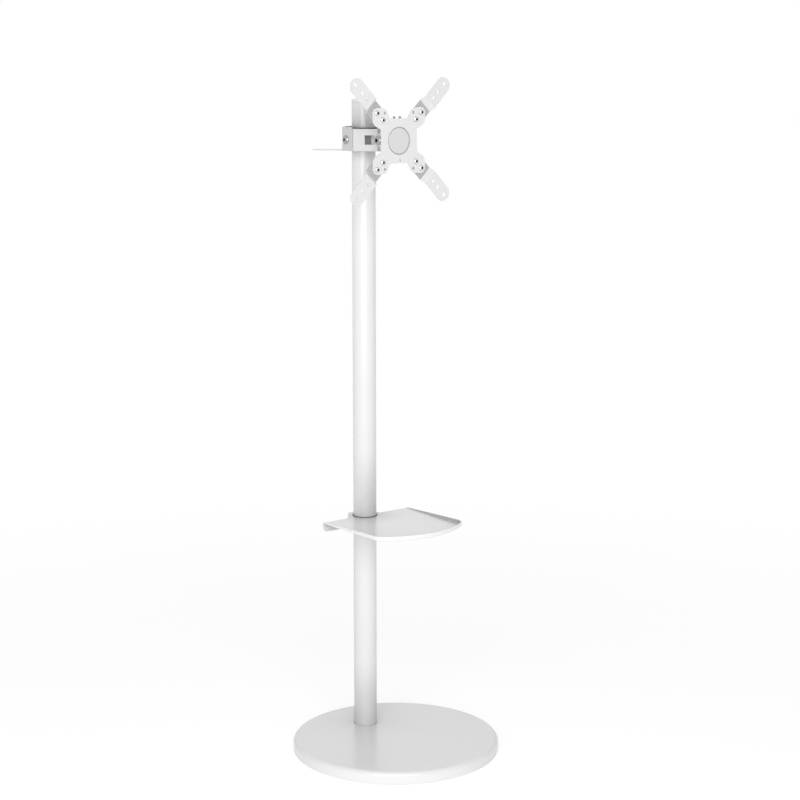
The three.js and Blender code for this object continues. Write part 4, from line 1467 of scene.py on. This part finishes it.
@dataclass(frozen=True)
class TiltJoint(SubAssembly):
    """The fork on the clamp's nose, the head that tilts on it and the hub of the plate."""

    axis_gap: float = 10.5
    fork_half_width: float = 14.5
    fork_sheet: float = 2.2
    fork_half_height: float = 12.0
    fork_end: float = 9.5
    fork_bend: float = 3.0
    fork_edge: float = 0.3
    fork_root: float = 5.0
    head_sheet: float = 2.5
    head_half_height: float = 19.5
    head_bend: float = 3.5
    head_edge: float = 0.35
    ear_radius: float = 10.2
    ear_shoulder: float = 4.0
    ear_fillet: float = 3.0
    head_reach: float = 25.8
    drill_reach: float = 30.0
    spacer_radius: float = 5.5
    washer_radius: float = 9.0
    washer: float = 1.2
    washer_edge: float = 0.15
    hub_radius: float = 31.0
    hub_thickness: float = 3.0
    hub_edge: float = 0.3
    hub_thread: float = 5.2
    neck_radius: float = 18.0
    neck_length: float = 2.6
    groove_radius: float = 25.0
    groove_depth: float = 1.4
    middle_radius: float = 23.0
    middle_rise: float = 1.6
    middle_edge: float = 0.4

    @property
    def axis(self) -> float:
        """Distance from the pole's axis to the tilt axis."""
        return NOSE_REACH + self.axis_gap

    @property
    def web(self) -> float:
        """Distance from the pole's axis to the front of the head's web."""
        return self.axis + self.head_reach

    def cross_drill(self) -> Piece:
        """The drill for the tilt bolt."""
        ends = [(side * self.drill_reach, -self.axis, 0) for side in (-1, 1)]
        return rod(Screws.TILT.bore, *ends)

    def make_fork(self) -> Piece:
        """Folds the fork from a strip and cuts its ears round.

        Returns:
            The fork.
        """
        outer = self.fork_half_width + self.fork_sheet
        back, tall, end = -NOSE_REACH - GAP, self.fork_half_height, self.fork_end
        path = [(outer, -self.axis - end - OVERRUN), (outer, back)]
        fork = slab(bent_strip(mirrored(path), self.fork_bend, self.fork_sheet), -tall, tall)
        ear = [(back + MARGIN, -tall), (back + MARGIN, tall), (back, tall)]
        ear += [*arc((-self.axis, 0), end, pi / 2, 1.5 * pi, 24), (back, -tall)]
        combine(fork, KEEP, slab(ear, -outer - MARGIN, outer + MARGIN, Plane.YZ))
        drills = fork_drills(NOSE_REACH - self.fork_root, self.axis)
        combine(fork, CUT, self.cross_drill(), *drills)
        return soften(even_out(fork), self.fork_edge)

    def make_head(self) -> Piece:
        """Folds the tilting head, a bracket with two rounded ears.

        Returns:
            The head.
        """
        outer = self.fork_half_width + self.fork_sheet + GAP + self.head_sheet
        front, tall, shoulder = -self.web, self.head_half_height, -self.axis - self.ear_shoulder
        path = [(-outer, self.ear_radius + OVERRUN - self.axis), (-outer, front)]
        head = slab(bent_strip(mirrored(path), self.head_bend, self.head_sheet), -tall, tall)
        below = [(front, -tall), (shoulder, -tall), (shoulder, 0)]
        above = [(y, -z) for y, z in reversed(below)]
        ear = [
            (front - MARGIN, -tall),
            *rounded_corner(*below, self.ear_fillet, 6),
            *arc((-self.axis, 0), self.ear_radius, -pi / 2, pi / 2, 28),
            *rounded_corner(*above, self.ear_fillet, 6),
            (front - MARGIN, tall),
        ]
        combine(head, KEEP, slab(ear, -outer - MARGIN, outer + MARGIN, Plane.YZ))
        screw_hole = rod(Screws.HUB.bore, (0, -self.axis, 0), (0, front - OVERRUN, 0))
        combine(head, CUT, self.cross_drill(), screw_hole)
        return soften(even_out(head), self.head_edge)

    def make_hub(self) -> Piece:
        """Turns the hub: a neck, a disc that the plate's ring runs on, and a raised middle.

        Returns:
            The hub.
        """
        wide, neck, edge = self.hub_radius, self.neck_length, self.hub_edge
        middle, soft, top = self.middle_radius, self.middle_edge, neck + self.hub_thickness
        groove, face = top - self.groove_depth, top + self.middle_rise
        profile = [(0.0, 0.0), (self.neck_radius, 0.0), (self.neck_radius, neck)]
        profile += [(wide - edge, neck), (wide, neck + edge), (wide, top - edge)]
        profile += [(wide - edge, top), (self.groove_radius, top), (self.groove_radius, groove)]
        profile += [(middle, groove), (middle, face - soft), (middle - soft, face), (0.0, face)]
        thread = rod(Screws.HUB.bore, (0, 0, -OVERRUN), (0, 0, self.hub_thread))
        return soften(combine(turned(profile), CUT, thread), 0)

    def build(self) -> None:
        """Makes the joint's pieces and fits them."""
        # Fork and head wear the darker coat copy, painted shade.
        self.shop.fit(self.make_fork(), "tilt_fork", Coat.MOUNT, AT_MOUNT)
        self.shop.fit(self.make_head(), "tilt_head", Coat.MOUNT, AT_MOUNT)
        hub_place = AT_MOUNT @ at(0, -self.web - GAP, 0, FACE_FRONT)
        # The hub wears the darker coat copy, painted shade.
        self.shop.fit(self.make_hub(), "turn_hub", Coat.HUB, hub_place)
        long, shank = self.fork_half_width - GAP, Screws.TILT.bore
        spacer = ring(shank, self.spacer_radius, -long, long, 48)
        across = AT_MOUNT @ at(0, -self.axis, 0, FACE_RIGHT)
        self.shop.fit(spacer, "tilt_spacer", Coat.STEEL, across)
        washer = ring(shank, self.washer_radius, 0, self.washer, 48, self.washer_edge)
        face = self.fork_half_width + self.fork_sheet + 2 * GAP + self.head_sheet
        for label, side, out, _ in SIDES:
            place = AT_MOUNT @ at(side * face, -self.axis, 0, out)
            self.shop.fit(twin(washer), f"tilt_washer_{label}", Coat.NICKEL, place)
        bpy.data.objects.remove(washer)
        seat = face + self.washer + GAP
        place = AT_MOUNT @ at(-seat, -self.axis, 0, FACE_LEFT)
        self.tray.screw(Screws.TILT, "tilt_bolt", place)
        place = AT_MOUNT @ at(seat, -self.axis, 0, FACE_RIGHT)
        self.tray.nut(Screws.TILT, "tilt_nut", place)
        web_back = -self.web + self.head_sheet + GAP
        self.tray.screw(Screws.HUB, "turn_hub_screw", AT_MOUNT @ at(0, web_back, 0, FACE_BACK))
        web_front = -NOSE_REACH - 2 * GAP - self.fork_sheet
        for label, z in (("lower", -FORK_SCREW_RISE), ("upper", FORK_SCREW_RISE)):
            place = AT_MOUNT @ at(0, web_front, z, FACE_FRONT)
            self.tray.screw(Screws.FORK, f"fork_screw_{label}", place)


@dataclass(frozen=True)
class ScreenPlate(SubAssembly):
    """The screen plate, the ring behind it and the four arms, drawn as seen from the front."""

    reach: float = 107.0
    sheet: float = 2.5
    sheet_edge: float = 0.25
    waist: float = 40.0
    notch: float = 20.5
    shoulder: tuple[Point2, ...] = ((27.0, 53.0), (34.0, 58.5))
    corner_radius: float = 5.0
    hole_radius: float = 25.0
    inner_spread: float = 37.5
    outer_spread: float = 50.0
    lobe_radius: float = 9.5
    spare_spread: float = 32.3
    spare_rise: float = 50.0
    spare_radius: float = 2.6
    lock_drop: float = 34.0
    bore: float = 20.5
    rim_inner: float = 31.3
    rim_outer: float = 36.0
    ring_depth: float = 5.6
    ring_edge: float = 0.1
    lip: float = 2.3
    lug_spread: float = 6.5
    lug_width: float = 4.0
    lug_reach: float = 43.5
    arm_width: float = 30.0
    arm_sheet: float = 2.0
    arm_edge: float = 0.3
    arm_step: float = 7.7
    step_start: float = 87.0
    step_run: float = 7.0
    end_spread: float = 97.0
    hole: float = 3.3
    end_hole: float = 100.0
    end_travel: float = 2.0
    middle_hole: float = 85.4
    inner_hole: float = 75.0
    drill_depth: float = 12.0
    corners: tuple[str, ...] = ("upper_right", "upper_left", "lower_left", "lower_right")

    @property
    def place(self) -> Matrix:
        """From the plate's drawing to its place on the stand."""
        return AT_MOUNT @ at(0, -self.reach, 0, FACE_FRONT)

    @property
    def arm_low(self) -> float:
        """Level of the rear face of the arms' roots."""
        return -self.sheet - GAP - self.arm_sheet

    def drill(self, radius: float, x: float, y: float = 0.0, sides: int = HOLE_SIDES) -> Piece:
        """A drill through the sheet at a point of the drawing."""
        return rod(radius, (x, y, -self.drill_depth), (x, y, self.drill_depth), sides)

    def make_plate(self) -> Piece:
        """Cuts the plate with its lobes and holes.

        Returns:
            The plate.
        """
        inner, outer, bulge = self.inner_spread, self.outer_spread, self.lobe_radius * sin(pi / 4)
        quarter = [(self.notch, self.waist), *self.shoulder, (outer, outer + self.lobe_radius)]
        quarter.append((outer + bulge, outer + bulge))
        quarter += [(y, x) for x, y in quarter[-2::-1]]
        corners: list[Point2] = []
        for turn in range(4):
            spin = Matrix.Rotation(-turn * pi / 2, 2)
            corners += [tuple(spin @ Vector(point)) for point in quarter]
        plate = slab(rounded_loop(corners, self.corner_radius, 4), -self.sheet, 0)
        holes = [self.drill(self.hole_radius, 0, sides=ROUND)]
        for across, up in product((-1, 1), repeat=2):
            holes += [self.drill(Screws.ARM.bore, across * s, up * s) for s in (inner, outer)]
            spare = (across * self.spare_spread, up * self.spare_rise)
            holes.append(self.drill(self.spare_radius, *spare))
        holes.append(self.drill(Screws.LOCK.bore, 0, -self.lock_drop))
        return soften(even_out(combine(plate, CUT, *holes)), self.sheet_edge)

    def make_ring(self) -> Piece:
        """Turns the ring that holds the hub behind the plate and adds its two stop lugs.

        Returns:
            The ring.
        """
        top = -self.sheet - GAP
        foot = top - self.ring_depth
        step = foot + self.lip
        inner, outer, bore = self.rim_inner, self.rim_outer, self.bore
        profile = [(bore, foot), (outer, foot), (outer, top), (inner, top), (inner, step)]
        ring_piece = turned([*profile, (bore, step), (bore, foot)])
        for side in (-1, 1):
            left = side * self.lug_spread - self.lug_width / 2
            lug = brick((left, inner + GAP, foot), (left + self.lug_width, self.lug_reach, step))
            combine(ring_piece, ADD, lug)
        combine(ring_piece, CUT, self.drill(Screws.LOCK.bore, 0, -self.lock_drop))
        return soften(even_out(ring_piece), self.ring_edge)

    def stepped(self, x: float, shift: float) -> float:
        """How far the arm stands forward at x along it, on a face whose step lies shift back."""
        share = (x - self.step_start + shift) / self.step_run
        return self.arm_step * max(0.0, min(1.0, share))

    def make_flat_arm(self) -> Piece:
        """Cuts one arm along X from flat sheet and drills it.

        Returns:
            The arm before it is bent.
        """
        diagonal = sqrt(2)
        inner, end = self.inner_spread * diagonal, self.end_spread * diagonal
        outline = rounded_bar(inner, end, self.arm_width / 2, 24)
        arm = slab(outline, self.arm_low, self.arm_low + self.arm_sheet)
        slot_at, travel = self.end_hole * diagonal, self.end_travel / 2
        slot = rounded_bar(slot_at - travel, slot_at + travel, self.hole, 16)
        holes = [self.drill(Screws.ARM.bore, x) for x in (inner, self.outer_spread * diagonal)]
        holes += [self.drill(self.hole, x * diagonal) for x in (self.inner_hole, self.middle_hole)]
        combine(arm, CUT, *holes, slab(slot, -self.drill_depth, self.drill_depth))
        return soften(arm, self.arm_edge)

    def make_arm(self) -> Piece:
        """Bends an arm forward between two folds and dresses it.

        Returns:
            The arm, with painted shade on its root: a darker copy of its coat where the root lies
                behind the plate.
        """
        arm = self.make_flat_arm()
        shift = self.arm_sheet * tan(atan2(self.arm_step, self.step_run) / 2)
        starts = (self.step_start, self.step_start + self.step_run)
        with editing(arm):
            for x in sorted(start - back for start in starts for back in (0, shift)):
                bpy.ops.mesh.select_all(action="SELECT")
                bpy.ops.mesh.bisect(plane_co=mm(x, 0, 0), plane_no=(1, 0, 0))
        for vertex in arm.data.vertices:
            x, _, z = vertex.co / MM
            share = (z - self.arm_low) / self.arm_sheet
            rise = (1 - share) * self.stepped(x, 0) + share * self.stepped(x, shift)
            vertex.co.z += rise * MM
        soften(arm, 0)
        self.shop.finishes.dress(arm, Coat.MOUNT)
        arm.data.materials.append(self.shop.finishes.materials[Coat.ROOT])
        # Faces before the step take the darker copy: painted shade on the root behind the plate.
        for face in arm.data.polygons:
            face.material_index = int(face.center.x < (self.step_start - shift) * MM)
        return arm

    def build(self) -> None:
        """Makes the plate, its ring and the arms and fits them."""
        # The plate wears the darker coat copy, painted shade.
        self.shop.fit(self.make_plate(), "screen_plate", Coat.MOUNT, self.place)
        self.shop.fit(self.make_ring(), "hub_retainer", Coat.STEEL, self.place)
        lock = self.place @ at(0, -self.lock_drop, GAP)
        self.tray.screw(Screws.LOCK, "turn_lock_screw", lock)
        arm = self.make_arm()
        spreads = {"inner": self.inner_spread, "outer": self.outer_spread}
        for i, label in enumerate(self.corners):
            there = self.place @ Matrix.Rotation(pi / 4 + i * pi / 2, 4, "Z")
            self.shop.fit(twin(arm), f"screen_arm_{label}", Coat.MOUNT, there)
            for end, spread in spreads.items():
                seat = there @ at(spread * sqrt(2), 0, GAP)
                self.tray.screw(Screws.ARM, f"arm_screw_{label}_{end}", seat)
        bpy.data.objects.remove(arm)


# ---- Studio ----


@dataclass(frozen=True)
class SoftLamp:
    """A square soft lamp that looks at the middle of the stand."""

    name: str
    place: Point3
    size: float
    watts: float

    def build(self, target: Vector) -> None:
        """Adds the lamp.

        Args:
            target: The point that it is aimed at.
        """
        lamp = bpy.data.lights.new(self.name, "AREA")
        lamp.shape = "SQUARE"
        lamp.size = self.size
        lamp.energy = self.watts
        holder = bpy.data.objects.new(self.name, lamp)
        holder.location = self.place
        holder.rotation_euler = (target - Vector(self.place)).to_track_quat("-Z", "Y").to_euler()
        bpy.context.scene.collection.objects.link(holder)


@dataclass(frozen=True)
class Studio:
    """Pale floor, white surroundings, soft lamps and the camera; its lengths are in metres."""

    camera_place: Point3 = (-2.1521, -2.7856, 1.3105)
    camera_pitch: float = 10.305
    camera_turn: float = -37.816
    lens: float = 87.515
    sensor: float = 36.0
    far_clip: float = 200.0
    horizon_level: float = 0.60
    zenith_level: float = 0.40
    # The floor lights the stand with a painted glow, which is dimmer near the stand as a painted
    # shadow.
    painted_shadow_glow_near: float = 0.70
    glow_far: float = 0.78
    glow_start: float = 0.2
    glow_end: float = 1.2
    white_start: float = 0.5
    white_end: float = 2.2
    floor_level: float = 0.55
    floor_lift: float = 0.62
    floor_size: float = 120.0
    floor_drop: float = 0.0003
    target: Point3 = (0.0, 0.0, 0.7)
    lamps: tuple[SoftLamp, ...] = (
        SoftLamp("front softbox", (-2.75, -3.25, 1.7), 4.2, 160.0),
        SoftLamp("rear softbox", (3.1, 4.0, 3.4), 3.6, 15.0),
    )

    def make_world(self) -> None:
        """Makes what surrounds the stand: white to see, and a soft light from it on the rest."""
        world = bpy.data.worlds.new("studio")
        bpy.context.scene.world = world
        world.use_nodes = True
        graph = Graph(world.node_tree)
        up = graph.add("SeparateXYZ", graph.add("TexCoord").outputs["Generated"]).outputs["Z"]
        level = graph.spread(up, To_Min=self.horizon_level, To_Max=self.zenith_level)
        soft, white = [graph.add("Background", grey(1.0), s).outputs[0] for s in (level, 1.0)]
        graph.add("OutputWorld", graph.blend(self.seen_directly(graph), soft, white))

    def seen_directly(self, graph: Graph) -> Socket:
        """Tells rays from the camera, a reflection or a transmission from all others.

        Args:
            graph: The nodes of the material or the world.

        Returns:
            One for such a ray and nought for another.
        """
        path = graph.add("LightPath").outputs
        first = graph.math("MAXIMUM", path["Is Camera Ray"], path["Is Glossy Ray"])
        return graph.math("MAXIMUM", first, path["Is Transmission Ray"])

    def make_floor_material(self) -> bpy.types.Material:
        """Makes the floor's material, which takes the stand's shadow, runs out into white and
        lights the stand with a painted glow, dimmer near it as a painted shadow.

        Returns:
            The material.
        """
        material = bpy.data.materials.new("studio floor")
        material.use_nodes = True
        graph = Graph(material.node_tree)
        away = graph.vector("LENGTH", graph.place()).outputs["Value"]
        white = {"From_Min": self.white_start, "From_Max": self.white_end}
        far = graph.spread(away, **white, interpolation_type="SMOOTHSTEP")
        matt = graph.add("BsdfDiffuse", grey(self.floor_level)).outputs[0]
        near = graph.add("AddShader", matt, graph.glow(self.floor_lift)).outputs[0]
        shown = graph.blend(far, near, graph.glow(1.0))
        # Other rays see the floor's painted glow, dimmer near the stand: a painted shadow.
        glow = {"From_Min": self.glow_start, "From_Max": self.glow_end}
        shade = graph.spread(away, **glow, To_Min=self.painted_shadow_glow_near, To_Max=self.glow_far)
        surface = graph.blend(self.seen_directly(graph), graph.glow(shade), shown)
        graph.add("OutputMaterial", surface)
        return material

    def make_floor(self) -> None:
        """Lays the floor just below the stand."""
        deselect()
        place = (0, 0, -self.floor_drop)
        bpy.ops.mesh.primitive_plane_add(size=self.floor_size, location=place)
        floor = settle(bpy.context.object)
        floor.name = floor.data.name = "studio_floor"
        with editing(floor):
            bpy.ops.mesh.subdivide(number_cuts=3)
        floor.data.materials.append(self.make_floor_material())

    def make_camera(self) -> None:
        """Sets the camera at the photograph's viewing angle."""
        lens = bpy.data.cameras.new("camera")
        lens.lens = self.lens
        lens.sensor_width = self.sensor
        lens.clip_end = self.far_clip
        camera = bpy.data.objects.new("camera", lens)
        camera.location = self.camera_place
        camera.rotation_euler = (radians(90 - self.camera_pitch), 0, radians(self.camera_turn))
        bpy.context.scene.collection.objects.link(camera)
        bpy.context.scene.camera = camera

    def build(self) -> None:
        """Sets up the whole studio."""
        bpy.context.scene.view_settings.view_transform = "Standard"
        self.make_world()
        self.make_floor()
        for lamp in self.lamps:
            lamp.build(Vector(self.target))
        self.make_camera()


def main() -> None:
    """Builds the studio and the stand, sub-assembly by sub-assembly."""
    logging.basicConfig(level=logging.INFO, format="%(name)s: %(message)s")
    Studio().build()
    shop = Workshop(frame)
    tray = FastenerTray(shop)
    for kind in (RoundBase, Pole, Shelf, PoleClamp, TiltJoint, ScreenPlate):
        kind(shop, tray).build()
    tray.clear()
    deselect()


if __name__ == "__main__":
    main()
